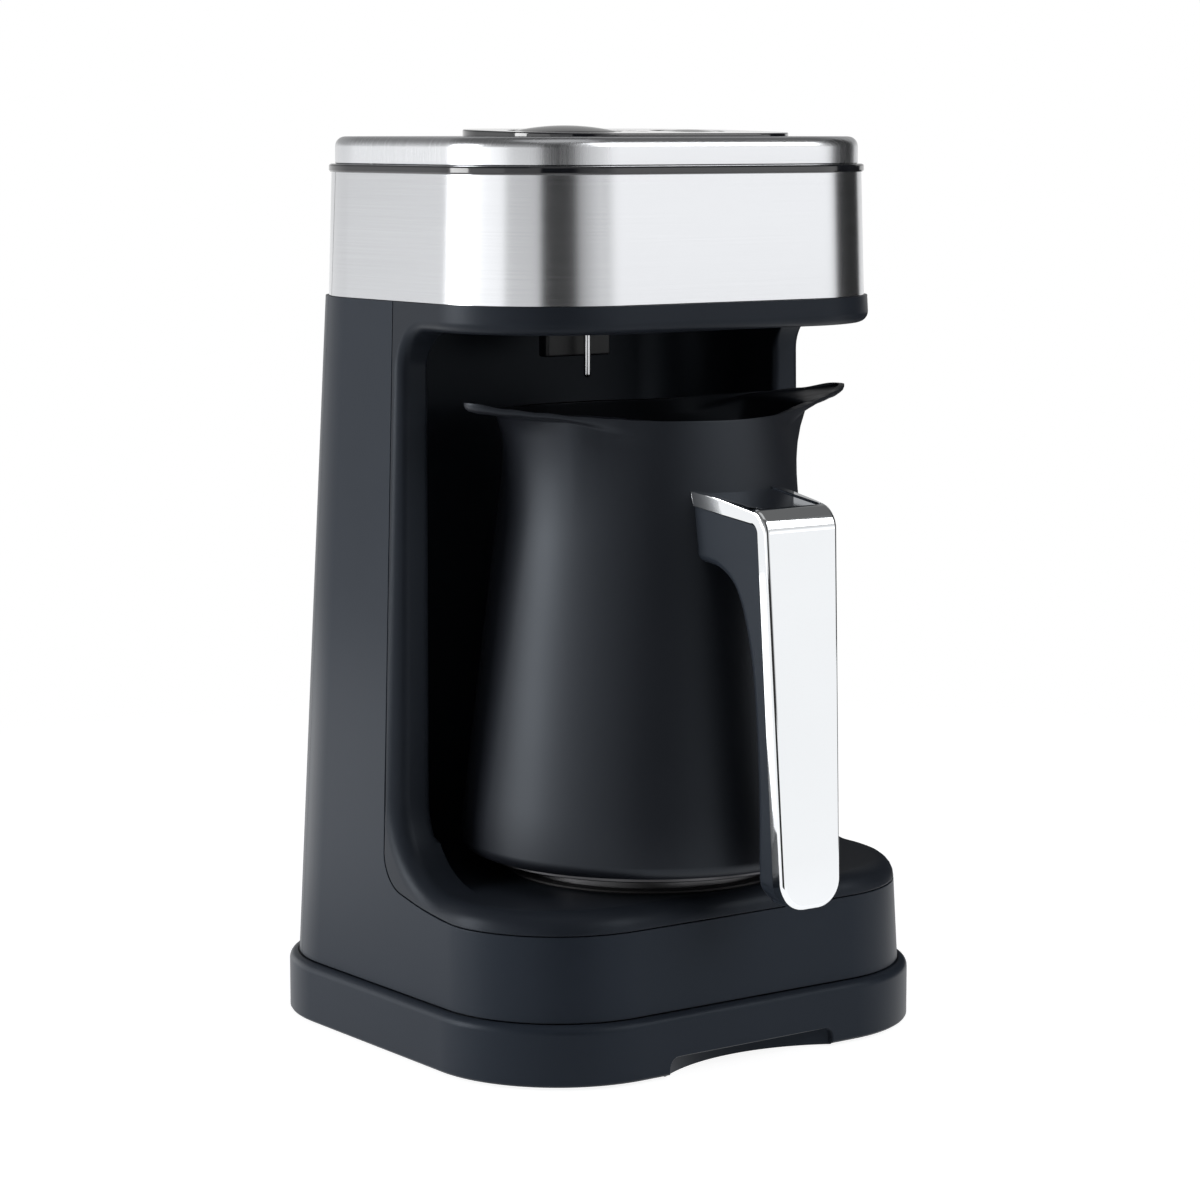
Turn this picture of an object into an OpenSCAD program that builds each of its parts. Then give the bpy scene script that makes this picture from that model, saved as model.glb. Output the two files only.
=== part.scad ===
// Electric Turkish coffee maker: a tall body with a steel head, a pot bay with a
// hot plate, a foam probe above the pot, and a lift-out pot with a chrome handle.
// Millimetres. Front is -Y, up is +Z. The frame's origin is the middle of the footprint.

/* [Body] */
// Width of the body at its foot
body_w = 157; // [150:1:165]
// Depth of the body at its foot
body_d = 149; // [144:1:156]
// Plan corner radius of the body at its foot
body_r = 39; // [30:1:44]
// Width of the body under the steel band
head_w = 147.4; // [142:0.2:150]
// Depth of the body under the steel band
head_d = 125.4; // [122:0.2:132]
// Plan corner radius under the steel band
head_r = 38.5; // [30:0.5:42]
// Height of the steel band's lower edge
body_top = 220; // [214:1:230]
// Wall of the plastic housings
wall = 2.5; // [2:0.1:3]
// How far the rear cover reaches forward from the back face
rear_wrap = 25.6; // [22:0.2:28]

/* [Pot bay] */
// Height of the deck that carries the hot plate
deck_z = 50; // [46:1:54]
// How far the shell's seam lies below the deck
deck_seam = 6.3; // [5:0.1:8]
// Height of the head's underside
mouth_top = 212; // [208:0.5:213]
// Front face of the column, from the body's axis
wing_y = -3; // [-6:0.5:2]
// How far the shell's seam lies behind the column's front face
wing_seam = 3; // [3:0.5:9]
// Radius of the shell's seam beside the deck
seam_r = 22; // [20:1:34]
// Radius where the column runs into the deck
mouth_r = 28; // [18:1:30]
// Radius where the column runs into the head
mouth_top_r = 11; // [4:1:14]
// Width of the recess behind the pot
niche_w = 128; // [122:1:130]
// Back wall of the recess, from the body's axis
niche_y = 36.5; // [33.5:0.5:38]
// Corner radius of the recess
niche_r = 22; // [14:1:26]

/* [Base] */
// Height of the base skirt
skirt_h = 19; // [16:0.5:22]
// How far the skirt stands out from the body
skirt_out = 3; // [2:0.1:4]
// Wall of the skirt
skirt_wall = 3; // [2.4:0.1:3.6]
// Gap between the skirt and the table
skirt_lift = 1; // [0.8:0.1:1.4]
// Radius of the skirt's shoulder
shoulder_r = 3; // [2:0.1:4]
// Width of the hand notch at the front
notch_w = 60; // [40:1:66]
// Height of the notch's top
notch_z = 6; // [5.5:0.1:7]
// Depth of the bottom plate's recess behind the notch
notch_back = 12; // [10:0.5:16]
// Thickness of the bottom plate
plate_t = 2.5; // [2:0.1:3]
// Height of the bottom plate's underside
plate_z = 2; // [1.8:0.1:2.4]
// Diameter of the rubber feet
foot_d = 14; // [10:1:16]

/* [Head] */
// Height of the steel band
band_h = 36.5; // [32:0.5:40]
// Thickness of the steel skins
skin = 0.6; // [0.5:0.1:0.8]
// How far the band stands back from the housing below it
band_step = 1; // [0.6:0.1:1.4]
// How much the band draws in per side over its height
band_draw = 1.15; // [0.6:0.05:1.6]
// Height of the glossy trim ring
ring_h = 2.5; // [2:0.1:3.5]
// How far the trim ring stands out from the band
ring_out = 0.8; // [0.4:0.1:1.2]
// Radial width of the trim ring
ring_w = 6; // [5:0.5:7]
// Height of the steel top cover
cover_h = 8; // [7:0.5:9]
// How far the top cover stands in from the trim ring
cover_in = 1.9; // [1.4:0.1:3]
// Edge radius of the top cover
cover_r = 3; // [2:0.5:3.5]

/* [Control panel] */
// Width of the panel
panel_w = 96; // [92:1:100]
// Depth of the panel
panel_d = 64; // [60:1:68]
// Plan corner radius of the panel
panel_r = 24; // [16:1:28]
// Centre of the panel, from the body's axis
panel_y = -15; // [-17:1:-12]
// Thickness of the panel at its front
panel_front = 1; // [0.8:0.1:1.4]
// Thickness of the panel at its back
panel_back = 2.3; // [1.8:0.1:2.8]
// Distance of each button from the middle
button_x = 22.5; // [21:0.5:24]
// Radius of the start button
start_r = 16.5; // [13:0.5:17]
// Radius of the cup button
cup_r = 11; // [8:0.5:14]
// Rise of the start button's dome
start_rise = 2; // [1:0.1:2.4]
// Rise of the cup button's dome
cup_rise = 0.8; // [0.5:0.1:1.6]
// Travel of both buttons
button_travel = 1; // [0.6:0.1:1.2]
// Gap around the button caps
button_gap = 0.3; // [0.25:0.05:0.5]
// Radius of the button stems
stem_r = 2; // [1.6:0.1:2.4]
// Running gap around the stems
stem_gap = 0.05; // [0.03:0.01:0.09]

/* [Hot plate] */
// Radius of the hot plate
plate_r = 38; // [34:0.5:39]
// Height of the hot plate above the deck
plate_up = 5; // [4:0.5:6]
// Thickness of the hot plate
hot_t = 6; // [5:0.5:7]
// Radial width of the gasket's hidden part
gasket_w = 2; // [1.5:0.1:2.5]
// Height from the heat shield's floor to the hot plate
shield_drop = 13.3; // [12:0.1:16]
// Radius of the heating tube's ring
element_ring = 25; // [22:0.5:27]
// Radius of the heating tube
element_r = 3.2; // [2.8:0.1:3.5]

/* [Foam probe] */
// Radius of the probe rod
probe_r = 1.05; // [0.9:0.05:1.3]
// Place of the probe, from the body's axis
probe_y = 5; // [3:0.5:7]
// Height of the probe's tip
probe_z = 194.7; // [194:0.1:197]

/* [Pot] */
// Pot axis, from the body's axis
pot_y = -26; // [-27:0.5:-25]
// Radius of the pot at its foot
pot_foot_r = 56.3; // [54:0.1:57]
// Radius of the pot at its rim
pot_rim_r = 41.3; // [39:0.1:43]
// Height of the pot's rim
pot_rim_z = 187; // [180:0.5:188]
// Wall of the pot
pot_wall = 1.6; // [1.4:0.1:2]
// Radius of the rounded foot of the pot
pot_foot_round = 4; // [3:0.5:5]
// Radius of the bonded base disc
disc_r = 50; // [46:0.5:51]
// Thickness of the base disc
disc_t = 1.6; // [1.2:0.1:2]
// Reach of the spouts from the pot's axis
spout_reach = 68.6; // [64:0.2:70]
// How far the spouts lean to the front
spout_lean = 6; // [0:0.5:8]
// Height of the spout tips above the rim
spout_rise = 5; // [3:0.5:6]
// Radius of the spout tips
spout_tip_r = 5.5; // [4.5:0.1:7]
// How far the spouts' flare reaches down the wall
flare_h = 24; // [16:1:30]

/* [Handle] */
// Front of the handle at its top, from the body's axis
handle_y = -97.5; // [-100:0.5:-96]
// Front of the handle at its bottom, from the body's axis
handle_low_y = -104; // [-106:0.5:-102]
// Height of the handle's top edge at the pot
handle_top = 167; // [162:0.5:170]
// Height of the handle's lower end
handle_low = 50.3; // [48:0.1:54]
// Fall of the handle's top from the pot to the front
handle_fall = 3.4; // [2:0.1:5]
// Width of the handle at its top
handle_w = 25; // [22:0.5:28]
// Width of the handle at its bottom
handle_low_w = 21; // [18:0.5:24]
// Depth of the chrome trim along the handle
trim_t = 4.4; // [3.6:0.1:5]
// Width of the chrome edges beside the top pad
trim_edge = 2.2; // [1.8:0.1:3]

/* [Fit and finish] */
// Gap between pieces that fit in one another
fit = 0.15; // [0.1:0.05:0.25]
// Gap between a screw and its hole
screw_gap = 0.05; // [0.03:0.01:0.1]
// Radius of the machine screws
screw_r = 1.5; // [1.3:0.1:1.6]

/* [Hidden] */

eps = 0.01;
big = 400;
ring_z = body_top + band_h;
cover_z = ring_z + ring_h;
lid_top = cover_z + cover_h;
seam_z = deck_z - deck_seam;
seam_y = wing_y + wing_seam;
plate_top = deck_z + plate_up;
pot_gap = 0.1;                        // the pot's foot is measured this far above the hot plate
disc_z = plate_top + pot_gap;
pot_z = disc_z + disc_t;
back_y = body_d / 2 + skirt_out;      // rearmost point of the skirt, from the body's axis
axis_y = -(handle_low_y + back_y) / 2;   // the body's axis in the part's frame

// screw posts under the deck, and the feet, from the body's axis
post_x = 58;
post_ys = [-30, 26];
post_r = 4.5;
foot_x = 54;
foot_ys = [-48, 50];
foot_h = plate_z + 1.2;

// control stack under the panel, from the top cover's top downwards
cover_skin = 0.8;
plug_h = 4;                           // depth of the panel's plug through the cover
plug_w = 84;
plug_d = 42;
plug_r = 12;
guide_t = 2;                          // floor of the plug, which guides the stems
board_post = 9;
board_t = 1.6;
board_clear = 1;                      // the board is this much smaller than the plug, on each side
board_hole = [4, 5];                  // the board's screw holes, in from its edges
board_w = plug_w - 2 * board_clear;
board_d = plug_d - 2 * board_clear;
plug_z = lid_top - plug_h;
guide_z = plug_z - guide_t;
board_z = guide_z - board_post - board_t;
switch_h = 3.5;
plunger_h = 1;
stem_z = board_z + board_t + switch_h + plunger_h + button_travel + 0.05;
cap_z = plug_z + button_travel + 0.2; // underside of the button caps

// power board behind the recess
power_w = 60;
power_h = 92;
power_z = 78;
power_t = 1.6;
power_y = niche_y + wall + 4;
block_x = 2;                          // left end of the terminal block
gland_z = 32;
gland_r = 6;
gland_flange = 2.2;
lean = atan((body_d - head_d) / 2 / (body_top - skirt_h));   // slant of the back face

function lerp(a, b, t) = a + (b - a) * t;
function rise(z) = (z - skirt_h) / (body_top - skirt_h);
function body_back(z) = lerp(body_d, head_d, rise(z)) / 2;
function arc(c, r, a0, a1, n = 10) = [for (i = [0:n]) c + r * [cos(lerp(a0, a1, i / n)),
    sin(lerp(a0, a1, i / n))]];
function pot_r_at(z) = lerp(pot_foot_r, pot_rim_r, (z - pot_z - pot_foot_round) / (pot_rim_z - pot_z - pot_foot_round));
function front_y(z) = lerp(handle_low_y, handle_y, (z - handle_low) / (handle_top - handle_low));

// ---------- shared shapes ----------

// moves a piece from the body's axis into the part's frame
module at() { translate([0, axis_y, 0]) children(); }

module rounded(w, d, r) {
    square([w - 2 * r, d], center = true);
    square([w, d - 2 * r], center = true);
    for (x = [-1, 1], y = [-1, 1]) translate([x * (w / 2 - r), y * (d / 2 - r)]) circle(r, $fn = 64);
}

// a side profile of [y, z] points drawn out along X
module along_x(points, w = big) {
    rotate([90, 0, 90]) linear_extrude(height = w, center = true) polygon(points);
}

module ring_xy(r_out, r_in, h) {
    difference() {
        cylinder(r = r_out, h = h, $fn = 96);
        translate([0, 0, -1]) cylinder(r = r_in, h = h + 2, $fn = 96);
    }
}

// plan outline of the body at height z, drawn in by inset
module body_slice(z, inset) {
    translate([0, 0, z]) linear_extrude(height = eps)
        rounded(lerp(body_w, head_w, rise(z)) - 2 * inset, lerp(body_d, head_d, rise(z)) - 2 * inset,
            lerp(body_r, head_r, rise(z)) - inset);
}

module body_form(inset, z0, z1) {
    hull() { body_slice(z0, inset); body_slice(z1 - eps, inset); }
}

// plan outline of the head's band; inset counts from the band's outside
module head_slice(z, inset) {
    draw = band_step + inset + band_draw * (z - body_top) / band_h;
    translate([0, 0, z]) linear_extrude(height = eps)
        rounded(head_w - 2 * draw, head_d - 2 * draw, head_r - draw);
}

module head_form(inset, z0, z1) {
    hull() { head_slice(z0, inset); head_slice(z1 - eps, inset); }
}

// the open mouth in front of the column, grown by g on every side
module mouth(g) {
    z0 = deck_z - g;
    z1 = mouth_top + g;
    y1 = wing_y + g;
    along_x(concat([[-big, z1], [-big, z0]],
        arc([y1 - mouth_r, z0 + mouth_r], mouth_r, -90, 0),
        arc([y1 - mouth_top_r, z1 - mouth_top_r], mouth_top_r, 0, 90, 6)));
}

// the recess behind the pot, grown by g
module niche(g) {
    front = wing_y - mouth_r - g;
    translate([0, (front + niche_y + g) / 2, deck_z - g]) linear_extrude(height = mouth_top - deck_z + 2 * g) {
        translate([0, -niche_r / 2]) square([niche_w + 2 * g, niche_y + g - front - niche_r], center = true);
        rounded(niche_w + 2 * g, niche_y + g - front, niche_r + g);
    }
}

// the housing's whole plastic skin, before it is parted into mouldings
module skin_all() {
    difference() {
        body_form(0, skirt_h, body_top);
        mouth(0);
        niche(0);
        difference() {
            body_form(wall, skirt_h - 1, body_top + 1);
            mouth(wall);
            niche(wall);
        }
    }
}

// side of the parting line that belongs to the liner
module front_part() {
    along_x(concat([[-big, body_top + 2], [-big, seam_z]],
        arc([seam_y - seam_r, seam_z + seam_r], seam_r, -90, 0), [[seam_y, body_top + 2]]));
}

// everything behind the slanted seam of the rear cover
module rear_part() {
    z0 = skirt_h - 2;
    z1 = ring_z + 2;
    along_x([[body_back(z0) - rear_wrap, z0], [big, z0], [big, z1], [body_back(z1) - rear_wrap, z1]]);
}

module screw(r, length, head_r, head_h) {
    cylinder(r = r, h = length, $fn = 32);
    translate([0, 0, -head_h]) cylinder(r = head_r, h = head_h, $fn = 32);
}

// ---------- base ----------

module skirt_slice(z, inset) {
    translate([0, 0, z]) linear_extrude(height = eps)
        rounded(body_w + 2 * (skirt_out - inset), body_d + 2 * (skirt_out - inset),
            body_r + skirt_out - inset);
}

module base_skirt() {
    color("#2b2f36") at() difference() {
        union() {
            hull() {
                skirt_slice(skirt_lift, 0.6);
                skirt_slice(skirt_lift + 0.6, 0);
            }
            translate([0, 0, skirt_lift + 0.6]) linear_extrude(height = skirt_h - shoulder_r - skirt_lift - 0.6)
                rounded(body_w + 2 * skirt_out, body_d + 2 * skirt_out, body_r + skirt_out);
            hull() for (a = [0, 30, 60, 90])
                skirt_slice(skirt_h - shoulder_r * (1 - sin(a)) - eps, shoulder_r * (1 - cos(a)));
        }
        // room inside the wall, under a flange that carries the shell
        translate([0, 0, -1]) linear_extrude(height = skirt_h - wall + 1)
            rounded(body_w + 2 * (skirt_out - skirt_wall), body_d + 2 * (skirt_out - skirt_wall),
                body_r + skirt_out - skirt_wall);
        translate([0, 0, -1]) linear_extrude(height = skirt_h + 2)
            rounded(body_w - 4 * wall, body_d - 4 * wall, body_r - 2 * wall);
        // hand notch with rounded upper corners
        translate([0, -body_d / 2, 0]) rotate([90, 0, 0]) linear_extrude(height = 2 * body_r, center = true) {
            translate([0, notch_z / 2 - 1]) square([notch_w - 6, notch_z + 2], center = true);
            translate([0, notch_z / 2 - 3]) square([notch_w, notch_z], center = true);
            for (x = [-1, 1]) translate([x * (notch_w / 2 - 3), notch_z - 3]) circle(3, $fn = 48);
        }
    }
}

module bottom_outline(inset) {
    difference() {
        rounded(body_w + 2 * (skirt_out - skirt_wall - fit - inset),
            body_d + 2 * (skirt_out - skirt_wall - fit - inset), body_r + skirt_out - skirt_wall - fit - inset);
        // the plate keeps back from the hand notch along a wide arc
        translate([0, -body_d / 2]) {
            square([notch_w + 4 + 2 * inset, 2 * (notch_back - 4 + inset)], center = true);
            translate([0, notch_back + inset - arc_r()]) intersection() {
                circle(arc_r(), $fn = 180);
                translate([0, arc_r()]) square([notch_w + 4 + 2 * inset, 2 * (notch_back + inset)], center = true);
            }
        }
    }
}

// radius of the arc behind the hand notch: 4 mm high over the notch's width
function arc_r() = (pow(notch_w / 2, 2) + 16) / 8;

module bottom_plate() {
    color("#24272c") at() difference() {
        union() {
            translate([0, 0, plate_z]) linear_extrude(height = plate_t) bottom_outline(0);
            translate([0, 0, plate_z]) linear_extrude(height = skirt_h - wall - plate_z) difference() {
                bottom_outline(0);
                bottom_outline(2);
            }
        }
        for (y = foot_ys, x = [-foot_x, foot_x])
            translate([x, y, 0]) cylinder(r = foot_d / 2 + 0.1, h = foot_h, $fn = 48);
        for (y = post_ys, x = [-post_x, post_x])
            translate([x, y, 0]) cylinder(r = screw_r + 0.25, h = 20, $fn = 32);
        // vent slots under the heater
        for (i = [-3:3]) translate([i * 8, pot_y, plate_z]) cube([3, 44, 4 * plate_t], center = true);
    }
}

module rubber_feet() {
    color("#1a1a1a") at() for (y = foot_ys, x = [-foot_x, foot_x])
        translate([x, y, 0]) cylinder(r = foot_d / 2, h = foot_h, $fn = 48);
}

// ---------- housings ----------

module outer_shell() {
    color("#33383f") at() difference() {
        skin_all();
        front_part();
        rear_part();
        niche(wall + eps);
    }
}

module niche_liner() {
    color("#2e3238") at() difference() {
        union() {
            intersection() {
                skin_all();
                union() { front_part(); niche(wall + eps); }
            }
            // posts for the bottom plate's screws
            for (y = post_ys, x = [-post_x, post_x])
                translate([x, y, plate_z + plate_t]) cylinder(r = post_r, h = deck_z - plate_z - plate_t - 1, $fn = 48);
            // posts for the rear cover's screws
            for (z = cover_screw_zs(), x = [-1, 1])
                translate([x * cover_screw_x(), niche_y + 1, z]) rotate([-90, 0, 0])
                    cylinder(r = post_r, h = cover_seat(z) - niche_y - 1, $fn = 48);
            // standoffs of the power board
            for (z = [power_z + 6, power_z + power_h - 6], x = [-1, 1])
                translate([x * (power_w / 2 - 5), niche_y + 1, z]) rotate([-90, 0, 0])
                    cylinder(r = 3.5, h = power_y - niche_y - 1, $fn = 32);
        }
        for (y = post_ys, x = [-post_x, post_x])
            translate([x, y, 0]) cylinder(r = screw_r + screw_gap, h = deck_z - wall - 1, $fn = 32);
        for (z = cover_screw_zs(), x = [-1, 1])
            translate([x * cover_screw_x(), niche_y + wall + 1, z]) rotate([-90, 0, 0])
                cylinder(r = screw_r + screw_gap, h = big, $fn = 32);
        translate([0, pot_y, deck_z - wall - 1]) cylinder(r = plate_r + gasket_w + fit, h = wall + 2, $fn = 96);
        translate([0, probe_y, mouth_top - 1]) cylinder(r = collar_r() + fit, h = wall + 2, $fn = 48);
    }
}

// rear cover screws: heights, and where their seats lie
function cover_screw_zs() = [66, 196];
function cover_screw_x() = 40;
function cover_seat(z) = body_back(z) - wall - 1.2;

module rear_cover() {
    color("#33383f") at() difference() {
        union() {
            intersection() {
                difference() { skin_all(); niche(wall + eps); }
                rear_part();
            }
            intersection() {
                difference() {
                    head_form(skin + 0.05, body_top, ring_z);
                    head_form(skin + wall, body_top - 1, ring_z + 1);
                }
                rear_part();
            }
            // seats round the screws
            intersection() {
                for (z = cover_screw_zs(), x = [-1, 1])
                    translate([x * cover_screw_x(), cover_seat(z), z]) rotate([-90, 0, 0])
                        cylinder(r = post_r + 1, h = wall + 2, $fn = 48);
                body_form(eps, skirt_h, body_top);
            }
        }
        for (z = cover_screw_zs(), x = [-1, 1]) translate([x * cover_screw_x(), cover_seat(z), z]) rotate([-90, 0, 0]) {
            translate([0, 0, -1]) cylinder(r = screw_r + 0.25, h = big, $fn = 32);
            translate([0, 0, 1.6]) cylinder(r = 3.4, h = big, $fn = 48);
        }
        // cord outlet
        at_gland() cylinder(r = gland_r + fit, h = 4 * wall, center = true, $fn = 48);
        // vent slots low on the back
        for (i = [-4:4]) translate([i * 8, body_back(52), 52]) cube([3, 4 * wall, 16], center = true);
    }
}

// ---------- head ----------

module head_frame() {
    color("#202327") at() difference() {
        union() {
            difference() {
                head_form(skin + 0.05, body_top, ring_z);
                head_form(skin + wall, body_top - 1, ring_z + 1);
            }
            for (p = lid_screw_at()) translate([p[0], p[1], ring_z - wall]) linear_extrude(height = wall)
                lug(p);
        }
        rear_part();
        for (p = lid_screw_at()) translate([p[0], p[1], ring_z - 10])
            cylinder(r = screw_r + 0.25, h = 20, $fn = 32);
    }
}

// screws that hold the top cover: two at the front, two at the sides
function lid_screw_at() = [for (x = [-1, 1], q = [[50, -42], [60, 20]]) [x * q[0], q[1]]];

// a lug that reaches from the screw out to the frame's wall
module lug(p) {
    circle(5, $fn = 48);
    if (p[1] < 0) translate([-5, -11]) square([10, 11]);
    else translate([p[0] > 0 ? 0 : -10, -5]) square([10, 10]);
}

module steel_band() {
    color("#c9ccd1") at() difference() {
        head_form(0, body_top, ring_z);
        head_form(skin, body_top - 1, ring_z + 1);
        rear_part();
    }
}

module rear_band() {
    color("#c9ccd1") at() intersection() {
        difference() {
            head_form(0, body_top, ring_z);
            head_form(skin, body_top - 1, ring_z + 1);
        }
        rear_part();
    }
}

module ring_outline(inset) {
    draw = band_step + band_draw - ring_out + inset;
    rounded(head_w - 2 * draw, head_d - 2 * draw, head_r - draw);
}

module trim_ring() {
    color("#16181b") at() translate([0, 0, ring_z]) linear_extrude(height = ring_h) difference() {
        ring_outline(0);
        ring_outline(ring_w);
    }
}

module cover_slice(z, inset) { translate([0, 0, z]) linear_extrude(height = eps) ring_outline(cover_in + inset); }

module top_cover() {
    color("#c4c7cc") at() difference() {
        union() {
            difference() {
                union() {
                    translate([0, 0, cover_z]) linear_extrude(height = cover_h - cover_r) ring_outline(cover_in);
                    hull() for (a = [0, 30, 60, 90])
                        cover_slice(lid_top - cover_r * (1 - sin(a)) - eps, cover_r * (1 - cos(a)));
                }
                translate([0, 0, cover_z - 1]) linear_extrude(height = cover_h - cover_r - cover_skin + 1)
                    ring_outline(cover_in + cover_skin);
                hull() for (a = [0, 45, 90])
                    cover_slice(lid_top - cover_skin - cover_r * (1 - sin(a)) - eps,
                        cover_skin + cover_r * (1 - cos(a)));
            }
            for (p = lid_screw_at()) translate([p[0], p[1], ring_z])
                cylinder(r = 4, h = lid_top - cover_skin - ring_z + 0.2, $fn = 48);
        }
        for (p = lid_screw_at()) translate([p[0], p[1], 0])
            cylinder(r = screw_r + screw_gap, h = lid_top - cover_skin - 1, $fn = 32);
        translate([0, panel_y, plug_z]) linear_extrude(height = 4 * plug_h)
            rounded(plug_w + 2 * fit, plug_d + 2 * fit, plug_r + fit);
    }
}

// ---------- control panel ----------

// height of the panel's sloping top at y, from the body's axis
function panel_top(y) = lid_top + lerp(panel_front, panel_back, (y - panel_y + panel_d / 2) / panel_d);

module control_panel() {
    color("#0e0f12") at() difference() {
        union() {
            intersection() {
                translate([0, panel_y, lid_top]) linear_extrude(height = 2 * panel_back)
                    rounded(panel_w, panel_d, panel_r);
                along_x([[-big, 0], [panel_y - panel_d / 2, 0], [panel_y + panel_d / 2, 0], [big, 0],
                    [big, panel_top(big)], [-big, panel_top(-big)]]);
            }
            translate([0, panel_y, guide_z]) linear_extrude(height = lid_top - guide_z + 0.2)
                rounded(plug_w, plug_d, plug_r);
            for (p = board_post_at()) translate([p[0], p[1], board_z + board_t])
                cylinder(r = 3, h = board_post + 0.2, $fn = 32);
        }
        for (b = buttons()) translate([b[0], panel_y, 0]) {
            translate([0, 0, plug_z]) cylinder(r = b[1] + button_gap, h = big, $fn = 96);
            translate([0, 0, guide_z - 1]) cylinder(r = stem_r + stem_gap, h = big, $fn = 48);
        }
        for (p = lens_at()) translate([p[0], p[1], plug_z]) cylinder(r = lens_r() + fit, h = big, $fn = 32);
        for (p = lens_at()) translate([p[0], p[1], guide_z - 1]) cylinder(r = lens_r() - 0.5, h = big, $fn = 32);
        for (p = board_post_at()) translate([p[0], p[1], board_z])
            cylinder(r = 1 + screw_gap, h = board_post, $fn = 24);
    }
}

// [x, radius, rise] of the two buttons
function buttons() = [[-button_x, start_r, start_rise], [button_x, cup_r, cup_rise]];
function board_post_at() = [for (x = [-1, 1], y = [-1, 1])
    [x * (board_w / 2 - board_hole[0]), panel_y + y * (board_d / 2 - board_hole[1])]];
function lens_r() = 1.6;
function lens_at() = [for (i = [-1:1]) [1.5, panel_y + 6 * i]];

module indicator_lens() {
    color("#e8e2c8") at() for (p = lens_at()) translate([p[0], p[1], plug_z])
        cylinder(r = lens_r(), h = panel_top(p[1]) - plug_z - 0.1, $fn = 32);
}

// a domed cap on a stem; the dome is a shallow arc turned round the axis
module button(b) {
    edge = panel_top(panel_y) - 0.4;
    dome_r = (pow(b[1], 2) + pow(b[2], 2)) / (2 * b[2]);
    sweep = asin(b[1] / dome_r);
    translate([b[0], panel_y, 0]) {
        rotate_extrude($fn = 96) polygon(concat([[0, cap_z], [b[1], cap_z]],
            arc([0, edge + b[2] - dome_r], dome_r, 90 - sweep, 90, 8)));
        translate([0, 0, stem_z]) cylinder(r = stem_r, h = cap_z - stem_z + 0.5, $fn = 48);
    }
}

module start_button() { color("#15171b") at() button(buttons()[0]); }
module cup_button() { color("#15171b") at() button(buttons()[1]); }

module control_board() {
    color("#1f5a3a") at() difference() {
        translate([0, panel_y, board_z]) linear_extrude(height = board_t)
            rounded(board_w, board_d, 3);
        for (p = board_post_at()) translate([p[0], p[1], 0])
            cylinder(r = 1.3, h = big, $fn = 24);
    }
}

module tact_switches() {
    color("#2a2a2c") at() for (b = buttons()) translate([b[0], panel_y, board_z + board_t]) {
        translate([-3, -3, 0]) cube([6, 6, switch_h]);
        cylinder(r = 1.7, h = switch_h + plunger_h, $fn = 24);
    }
}

module buzzer() {
    color("#111111") at() translate([16, panel_y + 10, board_z - 7]) cylinder(r = 6, h = 7, $fn = 48);
}

// ---------- electrics ----------

module power_board() {
    color("#1f5a3a") at() difference() {
        translate([-power_w / 2, power_y, power_z]) cube([power_w, power_t, power_h]);
        for (z = [power_z + 6, power_z + power_h - 6], x = [-1, 1])
            translate([x * (power_w / 2 - 5), power_y - 1, z]) rotate([-90, 0, 0])
                cylinder(r = 1.2, h = 5, $fn = 24);
    }
}

module relay() {
    color("#2d4f9e") at() translate([-24, power_y + power_t, power_z + 12]) cube([19, 15, 15.5]);
}

module transformer() {
    color("#3b3328") at() translate([4, power_y + power_t, power_z + 14]) {
        cube([22, 8, 24]);
        translate([3, 8 - eps, 3]) cube([16, 7, 18]);
    }
}

module terminal_block() {
    color("#d8d4c8") at() translate([block_x, 46, plate_z + plate_t]) difference() {
        cube([30, 15, 14]);
        for (i = [0:2]) translate([5 + 10 * i, 7.5, 4]) cylinder(r = 2, h = 20, $fn = 24);
    }
}

// the cord outlet's axis, square to the slanted back face
module at_gland() { translate([0, body_back(gland_z), gland_z]) rotate([lean - 90, 0, 0]) children(); }

module cord_gland() {
    color("#1a1a1a") at() at_gland() difference() {
        union() {
            translate([0, 0, -wall - 2.05]) cylinder(r = gland_r, h = wall + 4, $fn = 64);
            translate([0, 0, 0.02]) cylinder(r = gland_r + gland_flange, h = 2, $fn = 64);
            translate([0, 0, -wall - 2.05]) cylinder(r = gland_r + gland_flange, h = 2, $fn = 64);
        }
        translate([0, 0, -20]) cylinder(r = 3.6, h = 40, $fn = 48);
    }
}

// a bundle of wires: straight runs along one axis, joined by quarter turns
module supply_wires() {
    z0 = plate_z + plate_t + 14;
    color("#7a1f1f") at() for (i = [0:2]) translate([block_x + 5 + 10 * i, 53.5, z0]) {
        cylinder(r = 1.3, h = power_z - 6 - z0, $fn = 24);
        translate([0, 0, power_z - 6 - z0]) sphere(1.3, $fn = 24);
        translate([0, 0, power_z - 6 - z0]) rotate([90, 0, 0]) cylinder(r = 1.3, h = 53.5 - power_y - power_t / 2, $fn = 24);
        translate([0, power_y + power_t / 2 - 53.5, power_z - 6 - z0]) cylinder(r = 1.3, h = 6, $fn = 24);
    }
}

module signal_wires() {
    y = power_y + power_t + 3;
    turn = 8;
    top = board_z - 6;
    color("#8a8f96") at() translate([-8, 0, 0]) {
        translate([-5, power_y + power_t, power_z + power_h - 16]) cube([10, 6, 8]);
        translate([0, y, power_z + power_h - 8]) cylinder(r = 2, h = top - turn - power_z - power_h + 8, $fn = 24);
        translate([0, y - turn, top - turn]) rotate([90, 0, 90]) rotate_extrude(angle = 90, $fn = 48)
            translate([turn, 0]) circle(2, $fn = 24);
        translate([0, y - turn, top]) rotate([90, 0, 0]) cylinder(r = 2, h = y - turn - panel_y, $fn = 24);
        translate([-5, panel_y - 6, board_z - 8]) cube([10, 6, 8]);
    }
}

// ---------- heater ----------

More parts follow.
